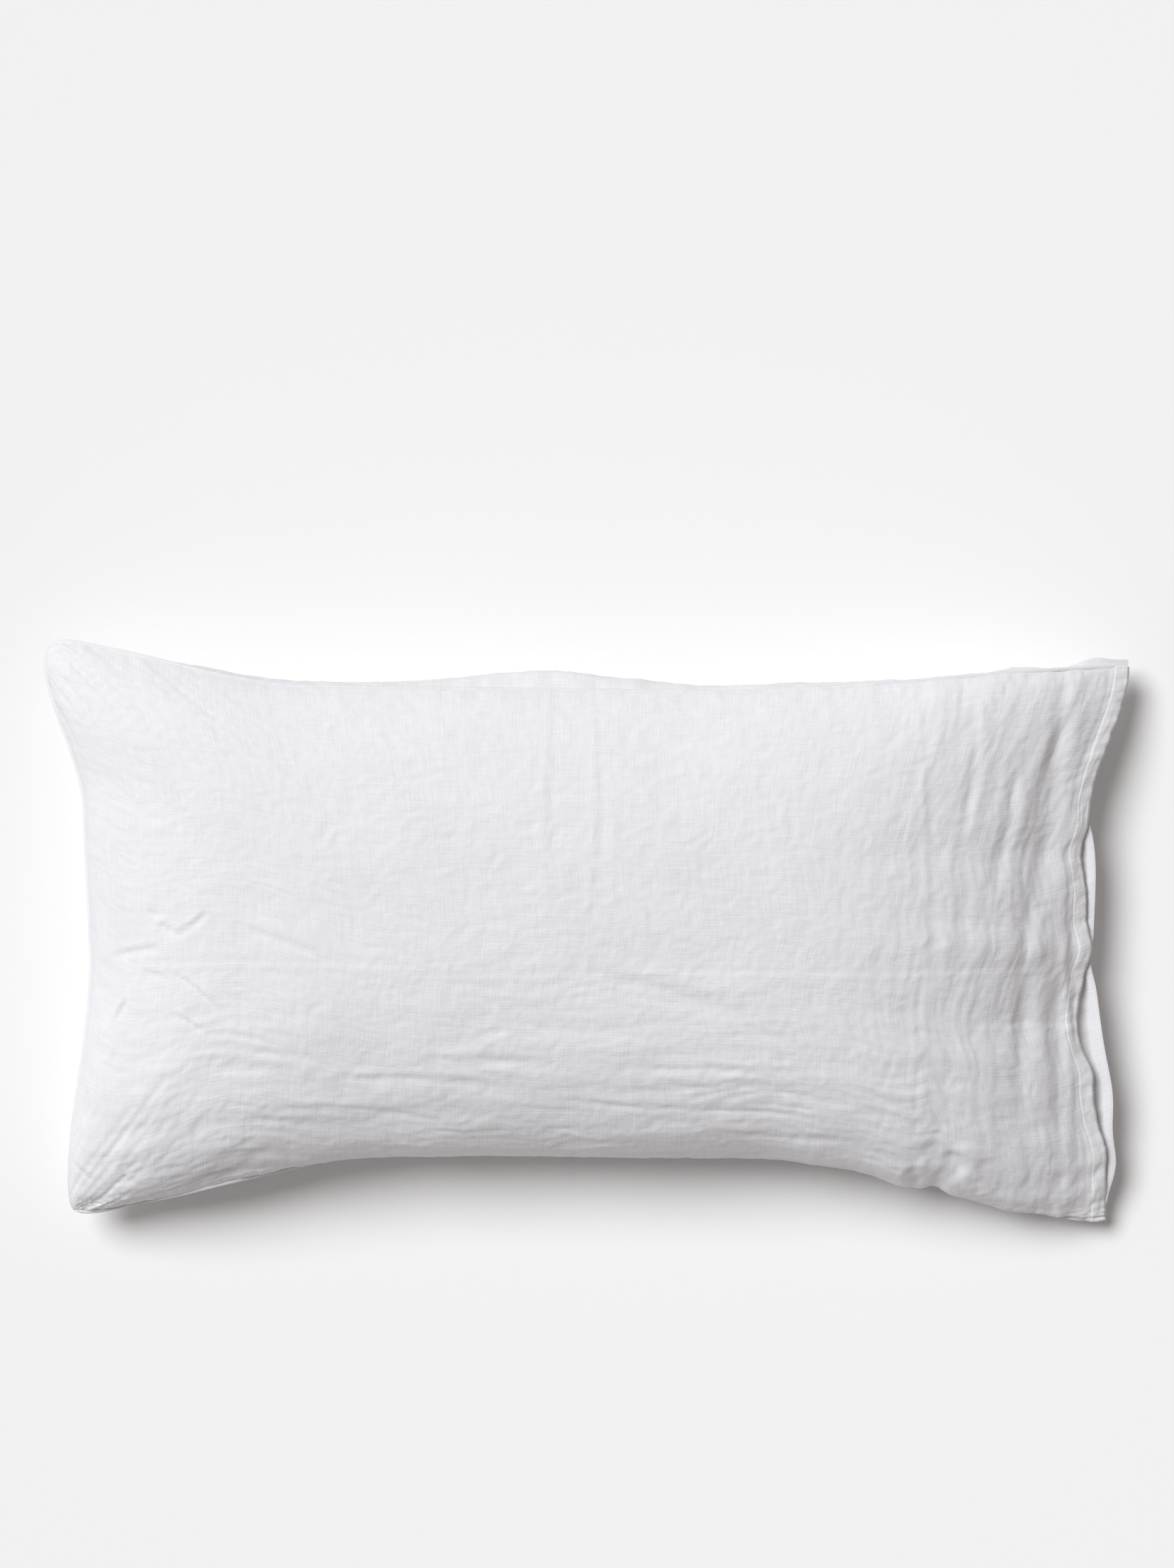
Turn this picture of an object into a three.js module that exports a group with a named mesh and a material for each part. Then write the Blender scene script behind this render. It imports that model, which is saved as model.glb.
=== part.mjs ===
// A bed pillow: a soft insert in an envelope pillowcase. Millimetres, +Z up.
//
// The pillow lies on z = 0. +X points to the open end of the case, and +Y to its upper side seam.
// Every layer of cloth follows one pair of surfaces, the top and the underside of the filled case,
// given over u (-1 at the closed end, 1 at the mouth) and v (-1 and 1 at the side seams).
// A layer is a thin box whose length, width and depth are bent onto those surfaces, so that layers
// stay inside one another when a size changes.
import * as THREE from 'three';

// Overall size of the filled case, between the tips of its corners, and its height at the crown.
const CASE_LENGTH = 895;
const CASE_WIDTH = 477;
const CROWN_HEIGHT = 160;

// How far the middle of each edge is drawn in from the line between its corners.
const CLOSED_END_PULL = 30;
const MOUTH_PULL = 18;
const UPPER_SIDE_PULL = 15;
const LOWER_SIDE_PULL = 50;

// How far three corners fall short of the rectangle that the upper closed corner reaches.
const MOUTH_UPPER_SHORT_Y = 12;
const MOUTH_LOWER_SHORT_X = 19;
const CLOSED_LOWER_SHORT_X = 22;
const CLOSED_LOWER_SHORT_Y = 8;

// Height of the seam line: along the sides, and how much lower it lies at the mouth and the corners.
const SEAM_HEIGHT = 74;
const MOUTH_DROP = 26;
const CORNER_DROP = 18;

// The cloth under the seam would hang this deep if no floor held it up.
const UNDERSIDE_DEPTH = 118;

// How steeply the case rises from its ends and from its sides: 0.5 is a half ellipse, less is boxier.
const END_ROUNDNESS = 0.35;
const SIDE_ROUNDNESS = 0.5;

// Cloth, and the clearances between pieces.
const CLOTH = 0.8;
const LAYER_GAP = 0.5;
const TOUCH_GAP = 0.3;
const CASE_EASE = 1.6;

// Seams, hems and the flap of the case.
const SEAM_WIDTH = 8;
const SEAM_THICKNESS = 3.2;
const MOUTH_CLOSE_LENGTH = 30;
const HEM_WIDTH = 17;
const HEM_STITCH_INSET = 12;
const FOLD_REACH = 15;
const FLAP_LENGTH = 150;
const THREAD_WIDTH = 0.8;
const THREAD_HEIGHT = 0.6;
const TACK_LENGTH = 9;

// The insert.
const PIPING_RADIUS = 2;
const PIPING_JOIN_GAP = 1;
const TICKING_SHOULDER = 0.97;
const TICKING_EDGE_POWER = 12;

// Care labels: length along the seam that holds them, and how far they reach in from it.
const CASE_LABEL_LENGTH = 25;
const CASE_LABEL_REACH = 38;
const CASE_LABEL_PLACE = 60;
const INSERT_LABEL_LENGTH = 30;
const INSERT_LABEL_REACH = 45;
const INSERT_LABEL_PLACE = -230;
const LABEL_THICKNESS = 0.4;

// How finely the surfaces are divided.
const LENGTH_STEPS = 18;
const WIDTH_STEPS = 12;
const LEAST_STEP = 0.012;
const PIPING_SIDES = 6;

const HALF_LENGTH = CASE_LENGTH / 2;
const HALF_WIDTH = CASE_WIDTH / 2;

// Half the room between the front and back panels at their edges, which the seam fills.
const EDGE_ROOM = SEAM_THICKNESS / 2 + TOUCH_GAP + CLOTH;
const CROWN_RISE = CROWN_HEIGHT - seamHeight(0, 0) - EDGE_ROOM;

// Depth of each layer's outer face below the outside of the case.
const HEM_DEPTH = CLOTH + LAYER_GAP;
const FLAP_DEPTH = HEM_DEPTH + CLOTH + LAYER_GAP;
const FLAP_HEM_DEPTH = FLAP_DEPTH + CLOTH + LAYER_GAP;
const INSERT_DEPTH = CLOTH + CASE_EASE;
const INSERT_DEPTH_UNDER_FLAP = FLAP_HEM_DEPTH + CLOTH + CASE_EASE;

// Places in u and v. The insert and the flap stay inside the seams.
const SEAM_U = 1 - SEAM_WIDTH / HALF_LENGTH;
const SEAM_V = 1 - SEAM_WIDTH / HALF_WIDTH;
const FLAP_V = SEAM_V - TOUCH_GAP / HALF_WIDTH;
const FLAP_U = 1 - FLAP_LENGTH / HALF_LENGTH;
const FLAP_HEM_U = FLAP_U + HEM_WIDTH / HALF_LENGTH;
const FLAP_STEP_U = FLAP_U - HEM_WIDTH / HALF_LENGTH;
const FLAP_EDGES = [FLAP_STEP_U, FLAP_U, FLAP_HEM_U];
const MOUTH_CLOSE_U = 1 - MOUTH_CLOSE_LENGTH / HALF_LENGTH;
const PIPING_ROOM = 2 * (PIPING_RADIUS + TOUCH_GAP);
const INSERT_U = SEAM_U - (PIPING_ROOM + CASE_EASE) / HALF_LENGTH;
const INSERT_V = SEAM_V - (PIPING_ROOM + CASE_EASE) / HALF_WIDTH;

const COLOURS = {
  linen: { color: 0xe6e5e9, roughness: 0.92 },
  linenHem: { color: 0xeae9ed, roughness: 0.92 },
  thread: { color: 0xf0eff2, roughness: 0.7 },
  ticking: { color: 0xf1efe9, roughness: 0.85 },
  fibre: { color: 0xf7f6f3, roughness: 1 },
  label: { color: 0xf6f5f0, roughness: 0.6 },
};

// ---- the surfaces of the filled case ----

// Plan position of a point of the case: a four-cornered outline with drawn-in edges.
function plan(u, v) {
  const toMouth = (1 + u) / 2;
  const toUpper = (1 + v) / 2;
  const closedX = -HALF_LENGTH + CLOSED_LOWER_SHORT_X * (1 - toUpper);
  const mouthX = HALF_LENGTH - MOUTH_LOWER_SHORT_X * (1 - toUpper);
  const lowerY = -HALF_WIDTH + CLOSED_LOWER_SHORT_Y * (1 - toMouth);
  const upperY = HALF_WIDTH - MOUTH_UPPER_SHORT_Y * toMouth;
  const endPull = CLOSED_END_PULL * (1 - toMouth) - MOUTH_PULL * toMouth;
  const sidePull = LOWER_SIDE_PULL * (1 - toUpper) - UPPER_SIDE_PULL * toUpper;
  return {
    x: THREE.MathUtils.lerp(closedX, mouthX, toMouth) + endPull * (1 - v * v),
    y: THREE.MathUtils.lerp(lowerY, upperY, toUpper) + sidePull * (1 - u * u),
  };
}

function seamHeight(u, v) {
  const toMouth = (1 + u) / 2;
  return SEAM_HEIGHT - MOUTH_DROP * toMouth ** 4 - CORNER_DROP * (u * v) ** 4;
}

// 1 at the crown, 0 along the edges.
function fullness(u, v) {
  const fromEnds = Math.max(0, 1 - u * u) ** END_ROUNDNESS;
  const fromSides = Math.max(0, 1 - v * v) ** SIDE_ROUNDNESS;
  return fromEnds * fromSides;
}

function caseTop(u, v, depth) {
  return seamHeight(u, v) + EDGE_ROOM + CROWN_RISE * fullness(u, v) - depth;
}

// The back panel keeps clear of the seam, and closes up to the flap along the mouth's fold.
function caseUnderside(u, v, depth) {
  const closed = THREE.MathUtils.smoothstep(u, MOUTH_CLOSE_U, 1);
  const foldRoom = FLAP_DEPTH + 2 * CLOTH + TOUCH_GAP - EDGE_ROOM;
  const room = THREE.MathUtils.lerp(EDGE_ROOM, foldRoom, closed);
  const hanging = seamHeight(u, v) - room - UNDERSIDE_DEPTH * fullness(u, v);
  return Math.max(0, hanging) + depth;
}

// 1 inside the insert, 0 along its outline.
function insertTaper(u, v) {
  const fromEnds = Math.max(0, 1 - (u / INSERT_U) ** TICKING_EDGE_POWER);
  const fromSides = Math.max(0, 1 - (v / INSERT_V) ** TICKING_EDGE_POWER);
  return Math.sqrt(fromEnds * fromSides);
}

// Half the thickness of the insert's flat edge.
const TICKING_EDGE = CLOTH + TOUCH_GAP / 2;

// The insert fills the case, and lies deeper where the flap covers it.
function insertTop(u, v, depth) {
  const underFlap = THREE.MathUtils.smoothstep(u, FLAP_STEP_U, FLAP_U);
  const below = THREE.MathUtils.lerp(INSERT_DEPTH, INSERT_DEPTH_UNDER_FLAP, underFlap);
  const rise = CROWN_RISE * fullness(u, v) + EDGE_ROOM - TICKING_EDGE - below;
  return seamHeight(u, v) + TICKING_EDGE + Math.max(0, rise) * insertTaper(u, v) - depth;
}

function insertUnderside(u, v, depth) {
  const fall = UNDERSIDE_DEPTH * fullness(u, v) - CLOTH - CASE_EASE;
  const hanging = seamHeight(u, v) - TICKING_EDGE - Math.max(0, fall) * insertTaper(u, v);
  return Math.max(CLOTH + TOUCH_GAP, hanging) + depth;
}

// ---- dividing lines ----

// Lines from -edge to edge, closer together towards both ends.
function roundLines(edge, steps) {
  const lines = [];
  for (let i = 0; i <= steps; i += 1) {
    lines.push(edge * Math.sin(Math.PI * (i / steps - 0.5)));
  }
  return lines;
}

const LENGTH_LINES = roundLines(SEAM_U, LENGTH_STEPS);
const WIDTH_LINES = roundLines(SEAM_V, WIDTH_STEPS);

// The front hem's edge lies FOLD_REACH behind the fold, and meets it at the mouth's corners.
function hemEdge(v) {
  return 1 - (FOLD_REACH / HALF_LENGTH) * (1 - v * v);
}

function hemStart(v) {
  return hemEdge(v) - HEM_WIDTH / HALF_LENGTH;
}

// Lines of the top behind the hem, with the flap's own edges among them.
const AHEAD_OF_HEM_U = hemStart(0) - LEAST_STEP;
const nearFlapEdge = (u) => FLAP_EDGES.some((edge) => Math.abs(edge - u) < LEAST_STEP);
const CLEAR_LINES = LENGTH_LINES.filter((u) => !nearFlapEdge(u));
const TOP_LINES = [...CLEAR_LINES, ...FLAP_EDGES].sort((a, b) => a - b);
const FRONT_LINES = TOP_LINES.filter((u) => u < AHEAD_OF_HEM_U);

// The case's own lines inside a smaller outline, so that nested layers share their facets.
function linesInside(lines, edge, shoulder = edge) {
  const inner = lines.filter((line) => Math.abs(line) < shoulder - LEAST_STEP);
  const outer = shoulder < edge ? [shoulder, edge] : [edge];
  return [...outer.map((line) => -line).reverse(), ...inner, ...outer];
}

// ---- building blocks ----

const LOW_FACE_GROUP = 5;
const QUAD_INDICES = 6;

// Turns the diagonals of a box's low face, so that they run the same way as those of its high face.
function matchDiagonals(geometry) {
  const { start, count } = geometry.groups[LOW_FACE_GROUP];
  for (let i = start; i < start + count; i += QUAD_INDICES) {
    const [a, b, , , c, d] = geometry.index.array.slice(i, i + QUAD_INDICES);
    geometry.index.array.set([a, b, c, a, c, d], i);
  }
}

// A closed sheet bent onto the pillow. A line may be a number or a function of v.
function bentSheet(uLines, vLines, lowFace, highFace) {
  const steps = [uLines.length - 1, vLines.length - 1];
  const geometry = new THREE.BoxGeometry(1, 1, 1, steps[0], steps[1], 1);
  matchDiagonals(geometry);
  const position = geometry.getAttribute('position');
  for (let i = 0; i < position.count; i += 1) {
    const uLine = uLines[Math.round((position.getX(i) + 0.5) * steps[0])];
    const v = vLines[Math.round((position.getY(i) + 0.5) * steps[1])];
    const u = typeof uLine === 'function' ? uLine(v) : uLine;
    const face = position.getZ(i) > 0 ? highFace : lowFace;
    const { x, y } = plan(u, v);
    position.setXYZ(i, x, y, face(u, v));
  }
  geometry.computeVertexNormals();
  return geometry;
}

// A layer of the case's top, its outer face at a depth below the outside.
function topLayer(uLines, vLines, depth, thickness = CLOTH) {
  const low = (u, v) => caseTop(u, v, depth + thickness);
  const high = (u, v) => caseTop(u, v, depth);
  return bentSheet(uLines, vLines, low, high);
}

function piece(name, geometry, { color, roughness }) {
  const material = new THREE.MeshStandardMaterial({ color, roughness, metalness: 0 });
  const mesh = new THREE.Mesh(geometry, material);
  mesh.name = name;
  return mesh;
}

// ---- the pillowcase ----

const ACROSS_CASE = [-1, ...WIDTH_LINES, 1];
const BETWEEN_SEAMS = linesInside(WIDTH_LINES, FLAP_V);

function frontPanel() {
  const uLines = [-1, ...FRONT_LINES, hemStart, hemEdge];
  return piece('front_panel', topLayer(uLines, ACROSS_CASE, 0), COLOURS.linen);
}

function backPanel() {
  const low = (u, v) => caseUnderside(u, v, 0);
  const high = (u, v) => caseUnderside(u, v, CLOTH);
  const sheet = bentSheet([-1, ...TOP_LINES, 1], ACROSS_CASE, low, high);
  return piece('back_panel', sheet, COLOURS.linen);
}

function frontHem() {
  const sheet = topLayer([hemStart, hemEdge], BETWEEN_SEAMS, HEM_DEPTH);
  return piece('front_hem', sheet, COLOURS.linenHem);
}

function tuckFlap() {
  const flapLines = FRONT_LINES.filter((u) => u >= FLAP_U);
  const uLines = [...flapLines, hemStart, hemEdge, 1];
  return piece('tuck_flap', topLayer(uLines, BETWEEN_SEAMS, FLAP_DEPTH), COLOURS.linen);
}

function flapHem() {
  const sheet = topLayer([FLAP_U, FLAP_HEM_U], BETWEEN_SEAMS, FLAP_HEM_DEPTH);
  return piece('flap_hem', sheet, COLOURS.linenHem);
}

// A line of thread on the outer face of the cloth it sews.
function stitching(name, middle, clothDepth) {
  const half = THREAD_WIDTH / 2 / HALF_LENGTH;
  const uLines = [(v) => middle(v) - half, (v) => middle(v) + half];
  const depth = clothDepth - TOUCH_GAP - THREAD_HEIGHT;
  return piece(name, topLayer(uLines, BETWEEN_SEAMS, depth, THREAD_HEIGHT), COLOURS.thread);
}

function frontHemStitching() {
  const middle = (v) => hemEdge(v) - HEM_STITCH_INSET / HALF_LENGTH;
  return stitching('front_hem_stitching', middle, 0);
}

function flapHemStitching() {
  const middle = () => FLAP_U + HEM_STITCH_INSET / HALF_LENGTH;
  return stitching('flap_hem_stitching', middle, FLAP_DEPTH);
}

// A seam: the doubled edges of both panels, turned in between them.
function seam(name, uLines, vLines, thickness, finish) {
  const low = (u, v) => seamHeight(u, v) - thickness / 2;
  const high = (u, v) => seamHeight(u, v) + thickness / 2;
  return piece(name, bentSheet(uLines, vLines, low, high), finish);
}

function sideLines(side) {
  return side > 0 ? [SEAM_V, 1] : [-1, -SEAM_V];
}

function sideSeam(name, side) {
  const inner = LENGTH_LINES.filter((u) => u < MOUTH_CLOSE_U - LEAST_STEP);
  const uLines = [-1, ...inner, MOUTH_CLOSE_U];
  return seam(name, uLines, sideLines(side), SEAM_THICKNESS, COLOURS.linen);
}

function closedEndSeam() {
  const uLines = [-1, -SEAM_U];
  return seam('closed_end_seam', uLines, BETWEEN_SEAMS, SEAM_THICKNESS, COLOURS.linen);
}

// A bar tack ends each side seam at the mouth, where the back panel starts to close up.
function mouthTack(name, side) {
  const start = MOUTH_CLOSE_U + TOUCH_GAP / HALF_LENGTH;
  const uLines = [start, start + TACK_LENGTH / HALF_LENGTH];
  const thickness = SEAM_THICKNESS - 2 * TOUCH_GAP;
  return seam(name, uLines, sideLines(side), thickness, COLOURS.thread);
}

// A face that runs straight from line to line, as the facets of the cloth beside it do.
function straightBetween(vLines, face) {
  return (u, v) => {
    const next = Math.max(1, vLines.findIndex((line) => line >= v));
    const [from, to] = [vLines[next - 1], vLines[next]];
    return THREE.MathUtils.lerp(face(u, from), face(u, to), (v - from) / (to - from));
  };
}

// From one place to another, by way of the cloth's own lines.
function linesFrom(start, end, clothLines) {
  return [start, ...clothLines.filter((line) => line > start && line < end), end];
}

// A label reaches in from the lower side seam, along the cloth it lies on.
function label(name, cloth, face, { edge, place, length, reach }) {
  const middle = place / HALF_LENGTH;
  const half = length / 2 / HALF_LENGTH;
  const uLines = linesFrom(middle - half, middle + half, cloth.uLines);
  const vLines = linesFrom(-edge, -edge + reach / HALF_WIDTH, cloth.vLines);
  const low = straightBetween(cloth.vLines, face);
  const high = straightBetween(cloth.vLines, (u, v) => face(u, v) + LABEL_THICKNESS);
  return piece(name, bentSheet(uLines, vLines, low, high), COLOURS.label);
}

function caseCareLabel() {
  const cloth = { uLines: FRONT_LINES, vLines: ACROSS_CASE };
  const face = (u, v) => caseTop(u, v, HEM_DEPTH + LABEL_THICKNESS);
  return label('case_care_label', cloth, face, {
    edge: FLAP_V,
    place: CASE_LABEL_PLACE,
    length: CASE_LABEL_LENGTH,
    reach: CASE_LABEL_REACH,
  });
}

// ---- the insert ----

const INSERT_LENGTH_LINES = linesInside(TOP_LINES, INSERT_U, TICKING_SHOULDER * INSERT_U);
const INSERT_WIDTH_LINES = linesInside(WIDTH_LINES, INSERT_V, TICKING_SHOULDER * INSERT_V);

function tickingTop() {
  const low = (u, v) => insertTop(u, v, CLOTH);
  const high = (u, v) => insertTop(u, v, 0);
  const sheet = bentSheet(INSERT_LENGTH_LINES, INSERT_WIDTH_LINES, low, high);
  return piece('ticking_top', sheet, COLOURS.ticking);
}

function tickingBottom() {
  const low = (u, v) => insertUnderside(u, v, 0);
  const high = (u, v) => insertUnderside(u, v, CLOTH);
  const sheet = bentSheet(INSERT_LENGTH_LINES, INSERT_WIDTH_LINES, low, high);
  return piece('ticking_bottom', sheet, COLOURS.ticking);
}

// The filling reaches the tickings' shoulders, where they start to close up to their edge.
function fillCore() {
  const low = (u, v) => insertUnderside(u, v, CLOTH + TOUCH_GAP);
  const high = (u, v) => insertTop(u, v, CLOTH + TOUCH_GAP);
  const uLines = INSERT_LENGTH_LINES.slice(1, -1);
  const vLines = INSERT_WIDTH_LINES.slice(1, -1);
  return piece('fill_core', bentSheet(uLines, vLines, low, high), COLOURS.fibre);
}

// Stations round the insert's outline, anticlockwise from the middle of the closed end.
// outU and outV say which way is outwards.
function outlineStations(edgeU, edgeV, joinGap) {
  const along = linesInside(LENGTH_LINES, edgeU).slice(1, -1);
  const across = linesInside(WIDTH_LINES, edgeV).slice(1, -1);
  const join = joinGap / 2 / HALF_WIDTH;
  const lower = across.filter((v) => v < -LEAST_STEP);
  const upper = across.filter((v) => v > LEAST_STEP);
  const closedEnd = (v) => ({ u: -edgeU, v, outU: -1, outV: 0 });
  const corner = (outU, outV) => ({ u: outU * edgeU, v: outV * edgeV, outU, outV });
  return [
    ...[-join, ...lower.reverse()].map(closedEnd),
    corner(-1, -1),
    ...along.map((u) => ({ u, v: -edgeV, outU: 0, outV: -1 })),
    corner(1, -1),
    ...across.map((v) => ({ u: edgeU, v, outU: 1, outV: 0 })),
    corner(1, 1),
    ...along.reverse().map((u) => ({ u, v: edgeV, outU: 0, outV: 1 })),
    corner(-1, 1),
    ...[...upper.reverse(), join].map(closedEnd),
  ];
}

// A cord round the insert where the two tickings meet, its ends almost touching.
function tickingPiping() {
  const reach = PIPING_RADIUS + TOUCH_GAP;
  const edgeU = INSERT_U + reach / HALF_LENGTH;
  const edgeV = INSERT_V + reach / HALF_WIDTH;
  const stations = outlineStations(edgeU, edgeV, PIPING_JOIN_GAP);
  const steps = stations.length - 1;
  const cord = new THREE.CylinderGeometry(PIPING_RADIUS, PIPING_RADIUS, 1, PIPING_SIDES, steps);
  const position = cord.getAttribute('position');
  for (let i = 0; i < position.count; i += 1) {
    const { u, v, outU, outV } = stations[Math.round((position.getY(i) + 0.5) * steps)];
    const out = position.getX(i);
    const up = position.getZ(i);
    const { x, y } = plan(u + (outU * out) / HALF_LENGTH, v + (outV * out) / HALF_WIDTH);
    position.setXYZ(i, x, y, seamHeight(u, v) + up);
  }
  cord.computeVertexNormals();
  return piece('ticking_piping', cord, COLOURS.ticking);
}

// The label lies midway between the ticking and the case.
function insertCareLabel() {
  const cloth = { uLines: INSERT_LENGTH_LINES, vLines: INSERT_WIDTH_LINES };
  const face = (u, v) => (insertTop(u, v, 0) + caseTop(u, v, CLOTH) - LABEL_THICKNESS) / 2;
  return label('insert_care_label', cloth, face, {
    edge: TICKING_SHOULDER * INSERT_V,
    place: INSERT_LABEL_PLACE,
    length: INSERT_LABEL_LENGTH,
    reach: INSERT_LABEL_REACH,
  });
}

// ---- the pillow ----

const pillowcase = new THREE.Group().add(
  frontPanel(),
  frontHem(),
  frontHemStitching(),
  backPanel(),
  tuckFlap(),
  flapHem(),
  flapHemStitching(),
  sideSeam('upper_side_seam', 1),
  sideSeam('lower_side_seam', -1),
  closedEndSeam(),
  mouthTack('mouth_tack_upper', 1),
  mouthTack('mouth_tack_lower', -1),
  caseCareLabel(),
);

const insert = new THREE.Group().add(
  tickingTop(),
  tickingBottom(),
  tickingPiping(),
  fillCore(),
  insertCareLabel(),
);

export default new THREE.Group().add(pillowcase, insert);
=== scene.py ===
"""A bed pillow: a washed-linen envelope case over a fibre-filled insert, seen from straight above.

Everything is in metres. The pillow lies on z = 0, +X points to the open end of the case and +Y to its
upper side seam. Every layer of cloth follows the cross-sections that CaseForm describes.
"""
import logging
import math
from collections.abc import Iterator
from contextlib import contextmanager
from dataclasses import dataclass, field, replace
from enum import Enum

import bmesh
import bpy
import numpy as np
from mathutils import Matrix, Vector


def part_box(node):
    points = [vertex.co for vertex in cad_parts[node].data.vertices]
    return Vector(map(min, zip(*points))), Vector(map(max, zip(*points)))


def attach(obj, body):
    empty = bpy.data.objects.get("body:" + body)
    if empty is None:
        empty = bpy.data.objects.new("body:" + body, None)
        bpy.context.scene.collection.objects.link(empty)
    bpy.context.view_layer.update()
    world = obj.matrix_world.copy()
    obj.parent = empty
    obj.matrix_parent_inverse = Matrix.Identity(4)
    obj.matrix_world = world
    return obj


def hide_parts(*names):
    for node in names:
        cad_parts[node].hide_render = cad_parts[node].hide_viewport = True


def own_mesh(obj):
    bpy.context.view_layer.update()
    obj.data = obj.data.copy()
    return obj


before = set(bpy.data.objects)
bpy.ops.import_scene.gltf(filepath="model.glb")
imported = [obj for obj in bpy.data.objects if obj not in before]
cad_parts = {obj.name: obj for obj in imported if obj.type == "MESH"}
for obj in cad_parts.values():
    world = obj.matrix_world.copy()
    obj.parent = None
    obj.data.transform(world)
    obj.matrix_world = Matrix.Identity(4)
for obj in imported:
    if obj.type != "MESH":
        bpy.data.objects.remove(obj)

log = logging.getLogger("pillow")

CASE_BODY = "pillowcase"
INSERT_BODY = "insert"
SAME_POINT = 1e-6
RIBBON = 0.0004


class Slot(Enum):
    """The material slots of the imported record."""

    LINEN = "linen"
    LINEN_HEM = "linen_hem"
    THREAD = "thread"
    TICKING = "ticking"
    FIBRE = "fibre"
    LABEL = "label"


class Side(Enum):
    """The two long sides of the pillow."""

    LOWER = -1
    UPPER = 1


# ---- small numeric helpers ----


def smooth(low: float, high: float, value: np.ndarray) -> np.ndarray:
    """Step smoothly from 0 to 1.

    Args:
        low: Where the step starts.
        high: Where the step ends.
        value: The places to evaluate.

    Returns:
        The step at each place.
    """
    t = np.clip((value - low) / (high - low), 0.0, 1.0)
    return t * t * (3 - 2 * t)


def bump(middle: float, reach: float, value: np.ndarray) -> np.ndarray:
    """Give a bell that is 1 at its middle and fades over a reach.

    Args:
        middle: Where the bell is highest.
        reach: Distance over which it falls to about a third.
        value: The places to evaluate.

    Returns:
        The bell at each place.
    """
    return np.exp(-(((value - middle) / reach) ** 2))


def noise(x: np.ndarray, y: np.ndarray, seed: int) -> np.ndarray:
    """Smooth lattice noise between -1 and 1.

    Args:
        x: First coordinate, one unit to a lattice cell.
        y: Second coordinate.
        seed: Picks one fixed pattern.

    Returns:
        The noise at each place.
    """
    column = np.floor(x).astype(np.int64)
    row = np.floor(y).astype(np.int64)
    fx = x - column
    fy = y - row

    def corner(dx: int, dy: int) -> np.ndarray:
        """Slope noise of one lattice corner."""
        h = ((column + dx) * 374761393 + (row + dy) * 668265263 + seed * 362437) & 0xFFFFFFFF
        h = ((h ^ (h >> 13)) * 1274126177) & 0xFFFFFFFF
        angle = ((h ^ (h >> 16)) & 0xFFFF) * (2 * math.pi / 65536)
        return np.cos(angle) * (fx - dx) + np.sin(angle) * (fy - dy)

    sx = fx * fx * fx * (fx * (fx * 6 - 15) + 10)
    sy = fy * fy * fy * (fy * (fy * 6 - 15) + 10)
    near = corner(0, 0) * (1 - sx) + corner(1, 0) * sx
    far = corner(0, 1) * (1 - sx) + corner(1, 1) * sx
    return 1.5 * (near * (1 - sy) + far * sy)


def crumple(x: np.ndarray, y: np.ndarray, seed: int, rounds: int = 3) -> np.ndarray:
    """Noise with sharp ridges, like cloth that was washed and pressed.

    Args:
        x: First coordinate, one unit to the largest crumple.
        y: Second coordinate.
        seed: Picks one fixed pattern.
        rounds: How many sizes of crumple are laid over one another.

    Returns:
        Heights, about -1 to 1.
    """
    bent_x = x + 0.6 * noise(x * 0.7, y * 0.7, seed + 11)
    bent_y = y + 0.6 * noise(x * 0.7, y * 0.7, seed + 12)
    total = np.zeros_like(x)
    size = 1.0
    for step in range(rounds):
        total += size * (0.45 - np.abs(noise(bent_x, bent_y, seed + step)) * 1.6)
        bent_x = bent_x * 1.9 + 3.7
        bent_y = bent_y * 1.9 - 1.3
        size *= 0.5
    return total


def unit(vectors: np.ndarray) -> np.ndarray:
    """Scale vectors to a length of one."""
    length = np.linalg.norm(vectors, axis=-1, keepdims=True)
    return vectors / np.maximum(length, 1e-12)


def grid_normals(points: np.ndarray) -> np.ndarray:
    """Normals of a grid of points, to the side that the first and second index turn towards.

    Args:
        points: Grid of shape (m, n, 3).

    Returns:
        Unit normals of the same shape.
    """
    along = np.gradient(points, axis=0)
    across = np.gradient(points, axis=1)
    return unit(np.cross(along, across))


def distances(points: np.ndarray) -> np.ndarray:
    """Distance along a line at each of its points, from the first."""
    steps = np.linalg.norm(np.diff(points, axis=0), axis=1)
    return np.concatenate([[0.0], np.cumsum(steps)])


def resampled(points: np.ndarray, count: int, endpoint: bool = True) -> np.ndarray:
    """Lay points at equal distances along a line.

    Args:
        points: Points of the line.
        count: How many points to lay.
        endpoint: Whether the last one lies on the line's end.

    Returns:
        The new points.
    """
    run = distances(points)
    even = np.linspace(0.0, run[-1], count, endpoint=endpoint)
    return np.stack([np.interp(even, run, points[:, k]) for k in range(3)], axis=-1)


def even_places(points: np.ndarray, places: np.ndarray, count: int) -> tuple[np.ndarray, np.ndarray]:
    """Pick places at equal distances along a line.

    Args:
        points: Points of the line.
        places: The place (u or v) of each point.
        count: How many places to pick.

    Returns:
        The places, and their distances along the line from its middle.
    """
    run = distances(points)
    wanted = np.linspace(0.0, run[-1], count)
    return np.interp(wanted, run, places), wanted - run[-1] / 2


def link(item: bpy.types.Object) -> bpy.types.Object:
    """Put an object into the scene."""
    bpy.context.scene.collection.objects.link(item)
    return item


@contextmanager
def edited(mesh: bpy.types.Mesh) -> Iterator[bmesh.types.BMesh]:
    """Edit a closed mesh; its faces are turned outwards at the end."""
    work = bmesh.new()
    work.from_mesh(mesh)
    work.verts.ensure_lookup_table()
    yield work
    bmesh.ops.recalc_face_normals(work, faces=work.faces)
    work.to_mesh(mesh)
    work.free()


# ---- the form of the filled case ----


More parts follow.
